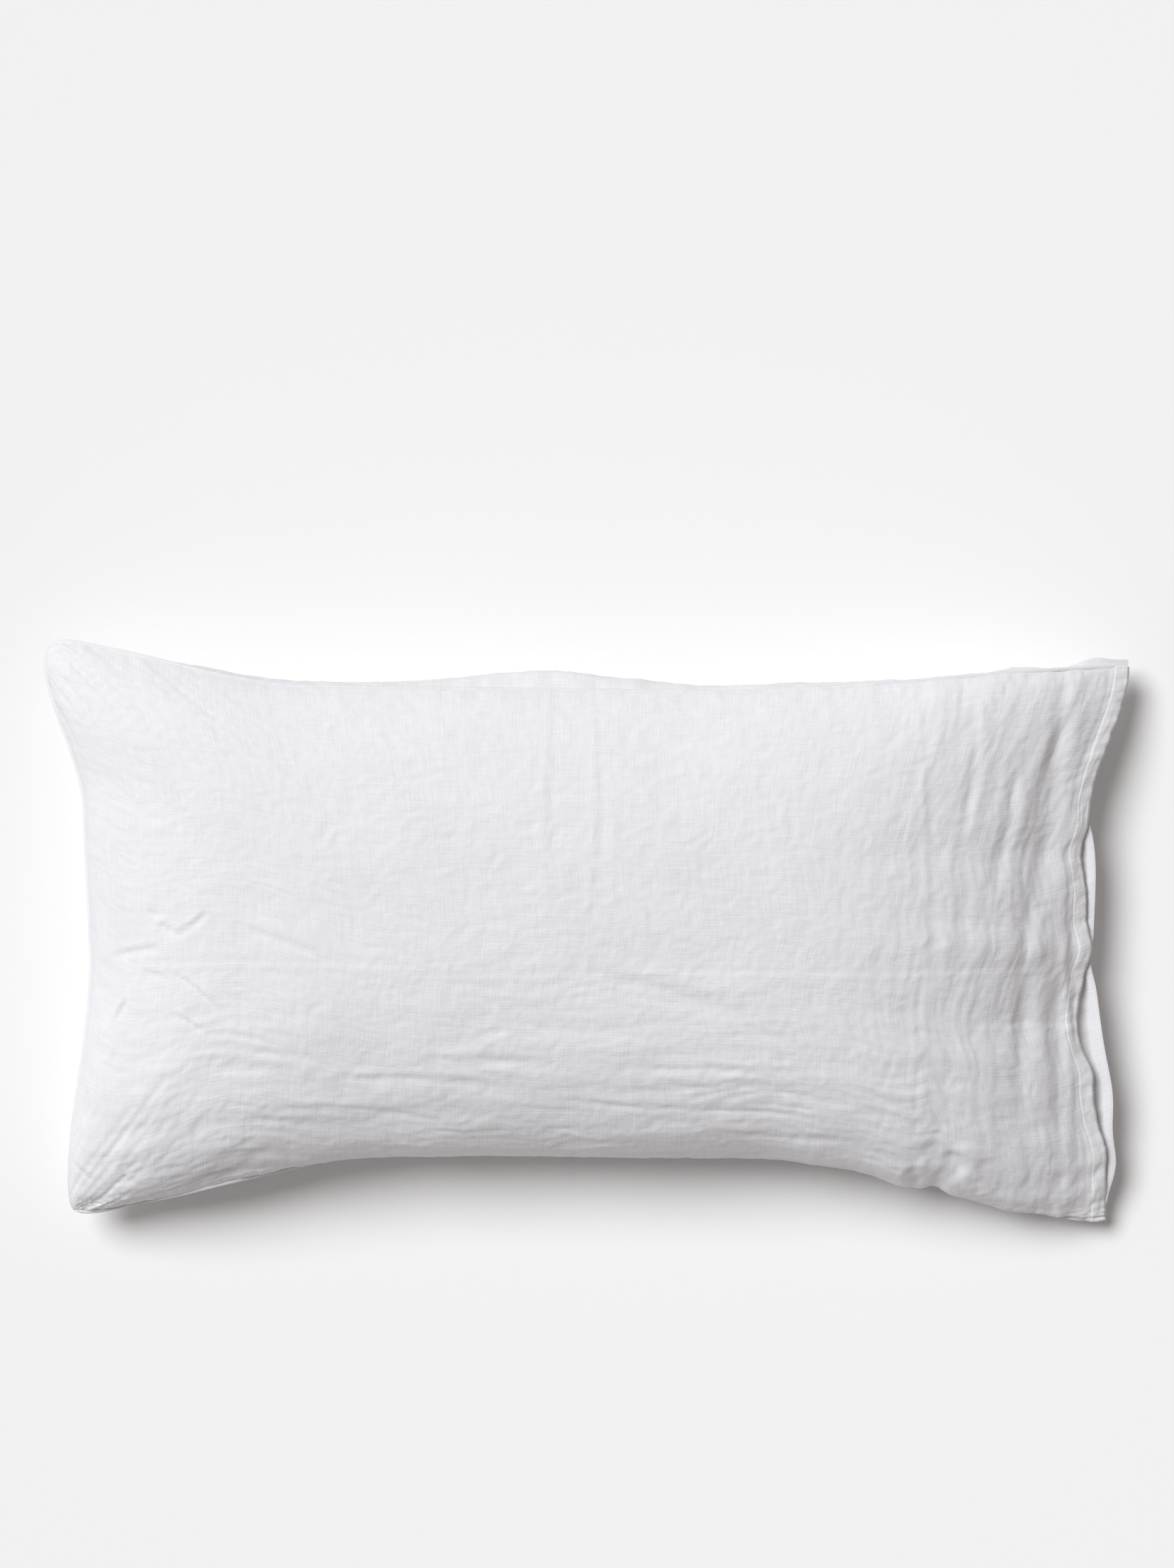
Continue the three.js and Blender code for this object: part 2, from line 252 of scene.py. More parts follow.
@dataclass(frozen=True)
class Lay:
    """The grid that a layer of cloth is laid on: places along and across it, and the flat cloth there."""

    u: np.ndarray
    v: np.ndarray
    along: np.ndarray
    across: np.ndarray

    @property
    def grid(self) -> tuple[np.ndarray, np.ndarray]:
        """u and v at every point of the grid."""
        return tuple(np.meshgrid(self.u, self.v, indexing="ij"))

    @property
    def cloth(self) -> tuple[np.ndarray, np.ndarray]:
        """Distances along and across the flat cloth at every point of the grid, in metres."""
        return tuple(np.meshgrid(self.along, self.across, indexing="ij"))


@dataclass(frozen=True)
class DrawnEdge:
    """An edge whose middle is drawn in, with a shoulder near each end. Places are -1 to 1."""

    depth: float
    start: tuple[float, float]
    end: tuple[float, float]

    def pull(self, place: np.ndarray) -> np.ndarray:
        """How far the edge is drawn in at each place."""
        return self.depth * smooth(*self.start, place) * (1 - smooth(*self.end, place))


@dataclass(frozen=True)
class EdgeWave:
    """One soft wave of an edge: where it is, how far it reaches and how far it pushes out."""

    place: float
    reach: float
    push: float


def waves(shape: tuple[EdgeWave, ...], place: np.ndarray) -> np.ndarray:
    """Add up the waves of an edge.

    Args:
        shape: The waves.
        place: Places along the edge.

    Returns:
        How far the edge is pushed out at each place.
    """
    total = np.zeros_like(place)
    for wave in shape:
        total += wave.push * bump(wave.place, wave.reach, place)
    return total


def case_box() -> tuple[np.ndarray, np.ndarray]:
    """Lowest and highest corner of the front and back panel together."""
    lows, highs = zip(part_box("front_panel"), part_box("back_panel"))
    return np.min(lows, axis=0), np.max(highs, axis=0)


@dataclass(frozen=True)
class CaseForm:
    """Cross-sections of the filled case.

    u runs from -1 at the closed end to 1 at the mouth. turn is the angle around a cross-section: 0 at
    the lower side, pi/2 at the crown, pi at the upper side and -pi/2 under the pillow.
    """

    half_length: float
    half_width: float
    crown: float
    seam_height: float = 0.0755
    mouth_drop: float = 0.026
    corner_drop: float = 0.018
    under_depth: float = 0.118
    closed_lower_short: tuple[float, float] = (0.022, 0.008)
    mouth_short: tuple[float, float] = (0.019, 0.012)
    closed_profile: tuple[float, float] = (3.1, 0.45)
    mouth_profile: tuple[float, float] = (4.8, 1.22)
    upper: DrawnEdge = DrawnEdge(0.029, (-0.97, -0.50), (0.20, 1.10))
    lower: DrawnEdge = DrawnEdge(0.051, (-1.06, -0.36), (0.32, 1.00))
    closed: DrawnEdge = DrawnEdge(0.030, (-1.00, -0.05), (0.42, 0.98))
    hem: DrawnEdge = DrawnEdge(0.029, (-1.00, -0.20), (0.47, 0.97))
    fold: DrawnEdge = DrawnEdge(0.021, (-0.70, 0.05), (0.55, 0.97))
    hem_waves: tuple[EdgeWave, ...] = (
        EdgeWave(0.31, 0.09, -0.0065),
        EdgeWave(-0.03, 0.07, 0.006),
        EdgeWave(-0.30, 0.10, -0.0045),
        EdgeWave(-0.47, 0.06, 0.004),
        EdgeWave(-0.75, 0.08, 0.003),
    )
    fold_waves: tuple[EdgeWave, ...] = (
        EdgeWave(0.55, 0.17, -0.013),
        EdgeWave(-0.80, 0.10, 0.0065),
        EdgeWave(-0.55, 0.12, 0.003),
        EdgeWave(-0.08, 0.06, -0.003),
    )
    upper_seam_turn: float = 0.24
    lower_seam_turn: float = 0.24
    seam_rise: float = 0.34
    lower_roll: float = 0.012
    squareness: float = 0.90
    flatness: float = 0.88
    lower_waves: tuple[EdgeWave, ...] = (
        EdgeWave(0.600, 0.050, 0.0040),
        EdgeWave(0.664, 0.022, -0.0050),
        EdgeWave(0.430, 0.060, 0.0020),
        EdgeWave(-0.95, 0.050, 0.0020),
    )
    upper_waves: tuple[EdgeWave, ...] = (EdgeWave(-0.97, 0.06, 0.0025),)
    corner_round: float = 0.0065
    corner_reach: float = 0.013
    lower_corner_share: float = 0.45
    floor_softness: float = 0.006
    slack: "Slack | None" = None

    @staticmethod
    def of_frame() -> "CaseForm":
        """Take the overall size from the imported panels."""
        low, high = case_box()
        size = high - low
        return CaseForm(float(size[0]) / 2, float(size[1]) / 2, float(high[2]))

    def seam_line_height(self, u: np.ndarray, w: np.ndarray) -> np.ndarray:
        """Height of the widest line of a cross-section.

        Args:
            u: Place along the pillow.
            w: Place across it, -1 to 1.

        Returns:
            Height above the floor.
        """
        to_mouth = (1 + u) / 2
        return self.seam_height - self.mouth_drop * to_mouth**4 - self.corner_drop * (u * w) ** 4

    def across(self, turn: np.ndarray) -> np.ndarray:
        """Place across the pillow, -1 to 1, at an angle around the section."""
        side = -np.cos(turn)
        return np.sign(side) * np.abs(side) ** self.squareness

    def end_fullness(self, u: np.ndarray) -> np.ndarray:
        """How full the case is along its length: 1 in the middle, 0 at both ends.

        Args:
            u: Place along the pillow.

        Returns:
            Share of the full height.
        """
        closed = np.clip(1 - np.abs(u) ** self.closed_profile[0], 0, 1) ** self.closed_profile[1]
        mouth = np.clip(1 - np.abs(u) ** self.mouth_profile[0], 0, 1) ** self.mouth_profile[1]
        return np.where(u < 0, closed, mouth)

    def seam_turns(self, u: np.ndarray) -> tuple[np.ndarray, np.ndarray]:
        """Angles around the section where the lower and the upper side seam lie.

        Args:
            u: Place along the pillow.

        Returns:
            Angle of the lower seam, near 0, and of the upper seam, near pi.
        """
        held = np.clip(1 - u**6, 0, 1)
        lower = (self.seam_rise * bump(-0.70, 0.20, u) - self.lower_seam_turn) * held
        upper = math.pi - self.upper_seam_turn * np.clip(1 - np.minimum(u, 0) ** 6, 0, 1)
        return lower, upper

    def turn_of(self, u: np.ndarray, v: np.ndarray) -> np.ndarray:
        """Angle around the section for a place across the front panel.

        Args:
            u: Place along the pillow.
            v: -1 at the lower seam, 1 at the upper seam.

        Returns:
            Angle, which leaves out the part of the section that the back panel covers.
        """
        first, last = self.seam_turns(u)
        return first + (last - first) * (1 + v) / 2

    def turn_under(self, u: np.ndarray, v: np.ndarray) -> np.ndarray:
        """Angle around the section for a place across the back panel, the long way under.

        Args:
            u: Place along the pillow.
            v: -1 at the lower seam, 1 at the upper seam.

        Returns:
            Angle from just below 0 down to just above -pi.
        """
        first, last = self.seam_turns(u)
        return first + (last - 2 * math.pi - first) * (1 + v) / 2

    def mouth_edge(self, w: np.ndarray, edge: DrawnEdge, shape: tuple[EdgeWave, ...]) -> np.ndarray:
        """Where one layer of cloth ends at the mouth.

        Args:
            w: Place across the pillow.
            edge: How the edge is drawn in.
            shape: Its waves.

        Returns:
            x of the edge.
        """
        corner_to_corner = self.half_length - self.mouth_short[0] * (1 - w) / 2
        return corner_to_corner - edge.pull(w) + waves(shape, w)

    def place(
        self,
        u: np.ndarray,
        turn: np.ndarray,
        edge: DrawnEdge | None = None,
        shape: tuple[EdgeWave, ...] = (),
    ) -> np.ndarray:
        """Points of a layer of the case.

        Args:
            u: Place along the pillow.
            turn: Angle around the section.
            edge: How this layer's mouth edge is drawn in; the hem's edge and waves if none is given.
            shape: The waves of that edge.

        Returns:
            Points of shape (..., 3).
        """
        if edge is None:
            edge, shape = self.hem, self.hem_waves
        w = self.across(turn)
        rise = np.sin(turn)
        to_mouth = (1 + u) / 2
        low_y = -self.half_width + self.closed_lower_short[1] * (1 - to_mouth) + self.lower.pull(u)
        low_y = low_y - waves(self.lower_waves, u)
        high_y = self.half_width - self.mouth_short[1] * to_mouth - self.upper.pull(u)
        high_y = high_y + waves(self.upper_waves, u)
        closed_x = -self.half_length + self.closed_lower_short[0] * (1 - w) / 2 + self.closed.pull(w)
        mouth_x = self.mouth_edge(w, edge, shape)
        x = closed_x + (mouth_x - closed_x) * to_mouth
        y = low_y + (high_y - low_y) * (1 + w) / 2
        to_corner = (1 - np.abs(u)) * self.half_length + (1 - np.abs(w)) * self.half_width
        near_corner = np.exp(-to_corner / self.corner_reach)
        blunt = self.corner_round * near_corner * np.where(w < 0, self.lower_corner_share, 1.0) * (u < 0)
        x = x + blunt
        y = y - np.sign(w) * blunt * 0.7
        ends = self.end_fullness(u)
        rolled = self.lower_roll * ((1 - w) / 2) ** 2
        level = self.seam_line_height(u, w) - rolled
        over = self.crown - self.seam_height + rolled
        full = np.where(rise > 0, over, self.under_depth) * np.abs(rise) ** self.flatness * ends
        # Underneath, the floor takes up what would hang below it, and the flat there fades in softly.
        soft = self.floor_softness
        resting = soft * np.logaddexp(0, (level - full) / soft)
        z = np.where(rise > 0, level + full, np.minimum(resting, level))
        points = np.stack([x, y, z], axis=-1)
        if self.slack is not None:
            points = points + self.slack.at(u, turn)
        return points

    def lay_out(
        self,
        steps: tuple[int, int],
        under: bool,
        edge: DrawnEdge | None = None,
        shape: tuple[EdgeWave, ...] = (),
        samples: int = 4001,
    ) -> Lay:
        """Choose the grid of a layer, with equal steps of cloth along its two middle lines.

        Args:
            steps: Points along and across.
            under: True for the half that lies underneath.
            edge: How the layer's mouth edge is drawn in, as for place.
            shape: The waves of that edge.
            samples: Points of each middle line that are measured.

        Returns:
            The lay.
        """
        turn_of = self.turn_under if under else self.turn_of
        fine = np.sin(np.linspace(-math.pi / 2, math.pi / 2, samples))
        middle = np.zeros_like(fine)
        u, run = even_places(self.place(fine, turn_of(fine, middle), edge, shape), fine, steps[0])
        line = np.linspace(-1, 1, samples)
        v, width = even_places(self.place(middle, turn_of(middle, line), edge, shape), line, steps[1])
        return Lay(u, v, run, width)


@dataclass(frozen=True)
class CareLabel:
    """A blank care label beside the lower seam, as long as its flat ribbon."""

    node: str
    size: tuple[float, float]
    start: float

    def grid(self, form: CaseForm) -> tuple[np.ndarray, np.ndarray]:
        """Places of the label's points on a form.

        Args:
            form: The form that the label follows.

        Returns:
            u and v at every point of the label.
        """
        low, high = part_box(self.node)
        middle = 0.5 * (low[0] + high[0])
        reach = 0.5 * self.size[0]
        u = np.linspace(middle - reach, middle + reach, 16) / form.half_length
        line = np.linspace(-1.0, 0.0, 801)
        along = np.full_like(line, middle / form.half_length)
        run = distances(form.place(along, form.turn_of(along, line)))
        v = np.interp(np.linspace(self.start, self.start + self.size[1], 22), run, line)
        return tuple(np.meshgrid(u, v, indexing="ij"))

    def ribbon(
        self, shop: "Workshop", form: CaseForm, outer: np.ndarray, inner: np.ndarray
    ) -> bpy.types.Object:
        """Make the ribbon between its two faces.

        Args:
            shop: The workshop.
            form: The form that the label follows.
            outer: Points of the outer face, on the label's grid.
            inner: Points of the inner face.

        Returns:
            The new object.
        """
        u, v = self.grid(form)
        cloth = ((u - u.min()) * form.half_length, (v - v.min()) * form.half_width)
        return shop.strip(self.node, outer, inner, cloth, Slot.LABEL)


# ---- slack, by cloth simulation ----


@dataclass(frozen=True)
class Slack:
    """How far the cloth of the filled case lies off its smooth form, on a coarse grid of both panels."""

    case: CaseForm
    u: np.ndarray
    v: np.ndarray
    front: np.ndarray
    back: np.ndarray

    def at(self, u: np.ndarray, turn: np.ndarray) -> np.ndarray:
        """Read the slack at any place of the case.

        Args:
            u: Places along the pillow.
            turn: Angles around the section.

        Returns:
            Moves of shape (..., 3).
        """
        u, turn = np.broadcast_arrays(u, turn)
        first, last = self.case.seam_turns(u)
        turn = np.where(turn > last, turn - 2 * math.pi, turn)
        turn = np.where(turn < last - 2 * math.pi, turn + 2 * math.pi, turn)
        above = turn >= first
        v_front = 2 * (turn - first) / (last - first) - 1
        v_back = 2 * (first - turn) / (first - last + 2 * math.pi) - 1
        row = np.interp(u, self.u, np.arange(len(self.u)))
        column = np.interp(np.where(above, v_front, v_back), self.v, np.arange(len(self.v)))
        front = self.read(self.front, row, column)
        back = self.read(self.back, row, column)
        return np.where(above[..., None], front, back)

    @staticmethod
    def read(table: np.ndarray, row: np.ndarray, column: np.ndarray) -> np.ndarray:
        """Read a table between its entries, by cubic curves.

        Args:
            table: Moves of shape (m, n, 3).
            row: Places along its first index.
            column: Places along its second index.

        Returns:
            Moves at the places.
        """
        i = np.floor(row).astype(int)
        j = np.floor(column).astype(int)
        total = np.zeros(row.shape + (3,))
        for a, share_a in enumerate(Slack.shares(row - i)):
            for b, share_b in enumerate(Slack.shares(column - j)):
                near_i = np.clip(i + a - 1, 0, table.shape[0] - 1)
                near_j = np.clip(j + b - 1, 0, table.shape[1] - 1)
                total += (share_a * share_b)[..., None] * table[near_i, near_j]
        return total

    @staticmethod
    def shares(t: np.ndarray) -> tuple[np.ndarray, ...]:
        """Share of each of four neighbours on a cubic curve, at a place between the middle two."""
        return (
            0.5 * (-(t**3) + 2 * t**2 - t),
            0.5 * (3 * t**3 - 5 * t**2 + 2),
            0.5 * (-3 * t**3 + 4 * t**2 + t),
            0.5 * (t**3 - t**2),
        )


@dataclass(frozen=True)
class SlackSimulation:
    """Blows up the sewn bag of both panels, with cloth a little larger than the form and its seams held."""

    steps: tuple[int, int] = (140, 78)
    flat: tuple[float, float] = (0.90, 0.50)
    slack: float = 1.035
    frames: int = 20
    pressure: float = 3.0
    mass: float = 0.15
    stiffness: float = 12.0
    bending: float = 0.05
    shear_share: float = 0.3
    quality: int = 6
    mouth_fade: float = 0.86
    furthest: float = 0.009
    share: float = 0.85

    def run(self, case: CaseForm, lay: Lay) -> Slack:
        """Run the simulation.

        Args:
            case: The smooth form.
            lay: Grid of the front panel, in the simulation's steps.

        Returns:
            The slack of both panels.
        """
        u, v = lay.grid
        top = case.place(u, case.turn_of(u, v))
        bottom = case.place(u, case.turn_under(u, v))
        bag, index = self.bag(lay, top, bottom)
        self.blow_up(bag)
        graph = bpy.context.evaluated_depsgraph_get()
        blown = bpy.data.meshes.new_from_object(bag.evaluated_get(graph))
        places = np.empty(len(blown.vertices) * 3)
        blown.vertices.foreach_get("co", places)
        places = places.reshape(-1, 3)
        places[:, 2] = np.maximum(places[:, 2], 0.0)
        bpy.data.objects.remove(bag)
        bpy.context.scene.frame_set(1)
        # The mouth isn't sewn shut, so the slack runs out before its edge.
        free = smooth(1.0, self.mouth_fade, u)[..., None]
        moves = [free * self.capped(places[index[..., k]] - flat) for k, flat in enumerate((top, bottom))]
        log.info("slack simulation: furthest move %.1f mm", 1000 * max(np.abs(m).max() for m in moves))
        return Slack(case, lay.u, lay.v, moves[0], moves[1])

    def capped(self, moves: np.ndarray) -> np.ndarray:
        """Keep every move below the furthest one allowed."""
        length = np.linalg.norm(moves, axis=-1, keepdims=True)
        kept = np.tanh(length / self.furthest) * self.furthest
        return moves * self.share * kept / np.maximum(length, 1e-9)

    def bag(self, lay: Lay, top: np.ndarray, bottom: np.ndarray) -> tuple[bpy.types.Object, np.ndarray]:
        """Make one closed bag of both panels, with a shape key that holds the flat cloth.

        Args:
            lay: Grid of the panels.
            top: Points of the front panel.
            bottom: Points of the back panel.

        Returns:
            The bag, and the vertex of every grid point of each panel.
        """
        m, n = top.shape[:2]
        rim = np.zeros((m, n), dtype=bool)
        rim[[0, -1]] = True
        rim[:, [0, -1]] = True
        index = np.zeros((m, n, 2), dtype=int)
        index[..., 0] = np.arange(m * n).reshape(m, n)
        index[..., 1] = np.where(rim, index[..., 0], 0)
        index[..., 1][~rim] = m * n + np.arange(int((~rim).sum()))
        long = lay.along / lay.along[-1] * self.flat[0] / 2
        wide = lay.across / lay.across[-1] * self.flat[1] / 2
        flat = np.stack([*np.meshgrid(long, wide, indexing="ij"), np.where(rim, 0.0, 0.001)], axis=-1)
        under = flat * (1.0, 1.0, -1.0)
        mesh = bpy.data.meshes.new("bag")
        faces = []
        for k, order in ((0, 1), (1, -1)):
            g = index[..., k]
            quads = np.stack([g[:-1, :-1], g[1:, :-1], g[1:, 1:], g[:-1, 1:]], axis=-1).reshape(-1, 4)
            faces += quads[:, ::order].tolist()
        points = np.concatenate([top.reshape(-1, 3), bottom[~rim]])
        mesh.from_pydata(points.tolist(), [], faces)
        bag = link(bpy.data.objects.new("bag", mesh))
        bag.shape_key_add(name="Basis")
        rest = np.concatenate([flat.reshape(-1, 3), under[~rim]]) * self.slack
        key = bag.shape_key_add(name="flat")
        key.data.foreach_set("co", rest.astype(np.float32).reshape(-1))
        held = bag.vertex_groups.new(name="seams")
        held.add(index[..., 0][rim].tolist(), 1.0, "REPLACE")
        return bag, index

    def blow_up(self, bag: bpy.types.Object) -> None:
        """Give the bag its cloth and step through the frames."""
        cloth = bag.modifiers.new("cloth", "CLOTH")
        settings = cloth.settings
        settings.quality = self.quality
        settings.mass = self.mass
        settings.vertex_group_mass = "seams"
        settings.use_pressure = True
        settings.uniform_pressure_force = self.pressure
        settings.tension_stiffness = self.stiffness
        settings.compression_stiffness = self.stiffness
        settings.shear_stiffness = self.stiffness * self.shear_share
        settings.bending_stiffness = self.bending
        settings.rest_shape_key = bag.data.shape_keys.key_blocks["flat"]
        settings.effector_weights.gravity = 0.0
        cloth.collision_settings.use_collision = False
        cloth.point_cache.frame_start = 1
        cloth.point_cache.frame_end = self.frames
        for frame_number in range(1, self.frames + 1):
            bpy.context.scene.frame_set(frame_number)


# ---- creases and folds ----


@dataclass(frozen=True)
class Crease:
    """A named fold of the cloth, in plan: its ends, width and height, its bow and the dip beside it."""

    start: tuple[float, float]
    end: tuple[float, float]
    width: float
    height: float
    bow: float
    dip: float

    def relief(self, x: np.ndarray, y: np.ndarray) -> np.ndarray:
        """Height that the crease adds at each place of the plan.

        Args:
            x: Places along the pillow.
            y: Places across it.

        Returns:
            Heights in metres.
        """
        start = np.array(self.start)
        run = np.array(self.end) - start
        length = float(np.linalg.norm(run))
        along = run / length
        side = (-along[1], along[0])
        px = x - start[0]
        py = y - start[1]
        t = (px * along[0] + py * along[1]) / length
        near = (t > -0.3) & (t < 1.3)
        d = px * side[0] + py * side[1] - self.bow * 4 * t * (1 - t) * np.where(near, 1, 0)
        fade = smooth(-0.12, 0.28, t) * (1 - smooth(0.72, 1.12, t))
        wide = self.width * (0.75 + 0.5 * t)
        ridge = self.height * np.exp(-((d / wide) ** 2))
        ridge -= self.dip * np.exp(-(((d - 1.7 * wide) / (1.3 * wide)) ** 2))
        return ridge * fade * near


# ---- finishes ----


Colour = tuple[float, float, float]
WHITE: Colour = (1.0, 1.0, 1.0)


def tinted(colour: Colour, share: float) -> Colour:
    """A darker or lighter share of a colour."""
    return tuple(k * share for k in colour)


class Nodes:
    """Builds the node tree of one material."""

    def __init__(self, name: str) -> None:
        """Start an empty material."""
        self.material = bpy.data.materials.new(name)
        self.material.use_nodes = True
        self.tree = self.material.node_tree
        self.tree.nodes.clear()
        self.output = self.add("ShaderNodeOutputMaterial")
        self.shader = self.add("ShaderNodeBsdfPrincipled")
        self.join(self.shader, "BSDF", self.output, "Surface")

    def add(self, kind: str, **values: object) -> bpy.types.Node:
        """Add a node.

        Args:
            kind: The node's type.
            **values: Inputs and properties by name; an underscore stands for a space in an input's name.

        Returns:
            The node.
        """
        node = self.tree.nodes.new(kind)
        for key, value in values.items():
            if hasattr(node, key):
                setattr(node, key, value)
            else:
                node.inputs[key.replace("_", " ")].default_value = value
        return node

    def join(self, source: bpy.types.Node, out: str, target: bpy.types.Node, into: str | int) -> None:
        """Link an output to an input."""
        self.tree.links.new(source.outputs[out], target.inputs[into])

    def scaled(self, place: bpy.types.Node, out: str, scale: tuple[float, float, float]) -> bpy.types.Node:
        """Scale the coordinates that a node gives."""
        mapping = self.add("ShaderNodeMapping")
        mapping.inputs["Scale"].default_value = scale
        self.join(place, out, mapping, "Vector")
        return mapping

    def cloth_place(self, along: float, across: float) -> bpy.types.Node:
        """Give the flat cloth's coordinates, with so many pattern repeats for each metre."""
        return self.scaled(self.add("ShaderNodeUVMap", uv_map="cloth"), "UV", (along, across, 1.0))

    def body_place(self, scale: tuple[float, float, float]) -> bpy.types.Node:
        """Give the object's own coordinates, scaled."""
        return self.scaled(self.add("ShaderNodeTexCoord"), "Object", scale)

    def speckle(self, mapping: bpy.types.Node, detail: float = 2.0, rough: float = 0.5) -> bpy.types.Node:
        """Noise over a mapping."""
        node = self.add("ShaderNodeTexNoise", Scale=1.0, Detail=detail, Roughness=rough)
        self.join(mapping, "Vector", node, "Vector")
        return node

    def ramp(self, source: bpy.types.Node, *stops: tuple[float, Colour]) -> bpy.types.Node:
        """Colour ramp over a node's factor.

        Args:
            source: Node with a Fac output.
            *stops: Position and colour of each of two stops.

        Returns:
            The ramp.
        """
        node = self.add("ShaderNodeValToRGB")
        for element, (position, colour) in zip(node.color_ramp.elements, stops):
            element.position = position
            element.color = (*colour, 1.0)
        self.join(source, "Fac", node, "Fac")
        return node

    def darkened(self, a: bpy.types.Node, b: bpy.types.Node) -> bpy.types.Node:
        """Multiply two colours."""
        node = self.add("ShaderNodeMix", data_type="RGBA", blend_type="MULTIPLY")
        node.inputs[0].default_value = 1.0
        self.tree.links.new(self.colour_of(a), node.inputs[6])
        self.tree.links.new(self.colour_of(b), node.inputs[7])
        return node

    @staticmethod
    def colour_of(node: bpy.types.Node) -> bpy.types.NodeSocket:
        """The colour output of a node."""
        if node.bl_idname == "ShaderNodeMix":
            return node.outputs[2]
        return node.outputs["Color"]

    def relief(self, *layers: tuple[bpy.types.Node, float, float]) -> bpy.types.Node:
        """Lay bumps over one another.

        Args:
            *layers: For each bump the node whose first output is the height, the height in metres of
                its whole range, and the share of it that is used.

        Returns:
            The last Bump node.
        """
        under = None
        for source, depth, strength in layers:
            node = self.add("ShaderNodeBump", Strength=strength, Distance=depth)
            self.tree.links.new(source.outputs[0], node.inputs["Height"])
            if under is not None:
                self.join(under, "Normal", node, "Normal")
            under = node
        return under

    def finish(
        self, colour: bpy.types.Node, relief: bpy.types.Node, **sockets: float
    ) -> bpy.types.Material:
        """Join colour and relief to the shader and hand the material over.

        Args:
            colour: Node that gives the colour.
            relief: Node that gives the normal.
            **sockets: The shader's other inputs; an underscore stands for a space in a name.

        Returns:
            The finished material.
        """
        self.tree.links.new(self.colour_of(colour), self.shader.inputs["Base Color"])
        self.join(relief, "Normal", self.shader, "Normal")
        for key, value in sockets.items():
            self.shader.inputs[key.replace("_", " ")].default_value = value
        return self.material


@dataclass(frozen=True)
class LinenFinish:
    """Washed linen: an open plain weave with thicker slubs in both directions and a fine crinkle."""

    name: str = "washed_linen"
    slot: Slot = Slot.LINEN
    colour: Colour = (0.824, 0.822, 0.842)
    between_threads: Colour = (0.93, 0.93, 0.94)
    slub: Colour = (0.95, 0.95, 0.955)
    thread_width: float = 0.00055
    slub_length: float = 0.03
    crinkle: float = 0.0007

    def make(self) -> bpy.types.Material:
        """Build the material.

        Returns:
            The finished material.
        """
        n = Nodes(self.name)
        fine = 1.0 / self.thread_width
        long = 1.0 / self.slub_length
        warp = n.speckle(n.cloth_place(long, fine), 2.5, 0.55)
        weft = n.speckle(n.cloth_place(fine, long), 2.5, 0.55)
        slub_warp = n.speckle(n.cloth_place(22.0, 800.0), 1.0, 0.5)
        slub_weft = n.speckle(n.cloth_place(800.0, 22.0), 1.0, 0.5)
        crush = n.speckle(n.cloth_place(95.0, 160.0), 5.0, 0.62)
        crush.inputs["Distortion"].default_value = 0.8
        cloud = n.speckle(n.cloth_place(14.0, 18.0), 3.0, 0.5)
        colour = n.ramp(cloud, (0.30, tinted(self.colour, 0.98)), (0.70, tinted(self.colour, 1.01)))
        for threads in (warp, weft):
            colour = n.darkened(colour, n.ramp(threads, (0.34, self.between_threads), (0.66, WHITE)))
        for slubs in (slub_warp, slub_weft):
            colour = n.darkened(colour, n.ramp(slubs, (0.66, WHITE), (0.78, self.slub)))
        relief = n.relief(
            (crush, self.crinkle, 0.55),
            (slub_warp, 0.0006, 0.30),
            (slub_weft, 0.0006, 0.30),
            (warp, 0.00025, 0.35),
            (weft, 0.00025, 0.35),
        )
        sheen = {"Sheen_Weight": 0.12, "Sheen_Roughness": 0.6}
        return n.finish(colour, relief, Roughness=0.92, IOR=1.45, Specular_IOR_Level=0.2, **sheen)


@dataclass(frozen=True)
class TickingFinish:
    """Close cotton percale of the insert's cover."""

    name: str = "cotton_ticking"
    slot: Slot = Slot.TICKING
    colour: Colour = (0.84, 0.83, 0.80)

    def make(self) -> bpy.types.Material:
        """Build the material.

        Returns:
            The finished material.
        """
        n = Nodes(self.name)
        warp = n.speckle(n.cloth_place(90.0, 3200.0), 1.5, 0.5)
        weft = n.speckle(n.cloth_place(3200.0, 90.0), 1.5, 0.5)
        crush = n.speckle(n.cloth_place(60.0, 75.0), 4.0, 0.55)
        cloud = n.speckle(n.cloth_place(9.0, 11.0), 2.0, 0.5)
        colour = n.ramp(cloud, (0.3, tinted(self.colour, 0.97)), (0.7, tinted(self.colour, 1.02)))
        colour = n.darkened(colour, n.ramp(warp, (0.35, (0.96, 0.96, 0.96)), (0.65, WHITE)))
        relief = n.relief((crush, 0.0007, 0.4), (warp, 0.00015, 0.3), (weft, 0.00015, 0.3))
        sheen = {"Sheen_Weight": 0.08, "Sheen_Roughness": 0.5}
        return n.finish(colour, relief, Roughness=0.82, IOR=1.45, Specular_IOR_Level=0.3, **sheen)


@dataclass(frozen=True)
class ThreadFinish:
    """Twisted sewing thread."""

    name: str = "sewing_thread"
    slot: Slot = Slot.THREAD
    colour: Colour = (0.79, 0.788, 0.80)

    def make(self) -> bpy.types.Material:
        """Build the material.

        Returns:
            The finished material.
        """
        n = Nodes(self.name)
        twist = n.add("ShaderNodeTexWave", Scale=1.0, Distortion=0.4)
        twist.wave_type = "BANDS"
        twist.bands_direction = "DIAGONAL"
        n.join(n.body_place((1800.0, 1800.0, 1800.0)), "Vector", twist, "Vector")
        wear = n.speckle(n.body_place((300.0, 300.0, 300.0)), 2.0, 0.5)
        colour = n.ramp(wear, (0.3, tinted(self.colour, 0.93)), (0.7, self.colour))
        relief = n.relief((twist, 0.0001, 0.5))
        return n.finish(colour, relief, Roughness=0.62, Sheen_Weight=0.1, Sheen_Roughness=0.4, IOR=1.5)


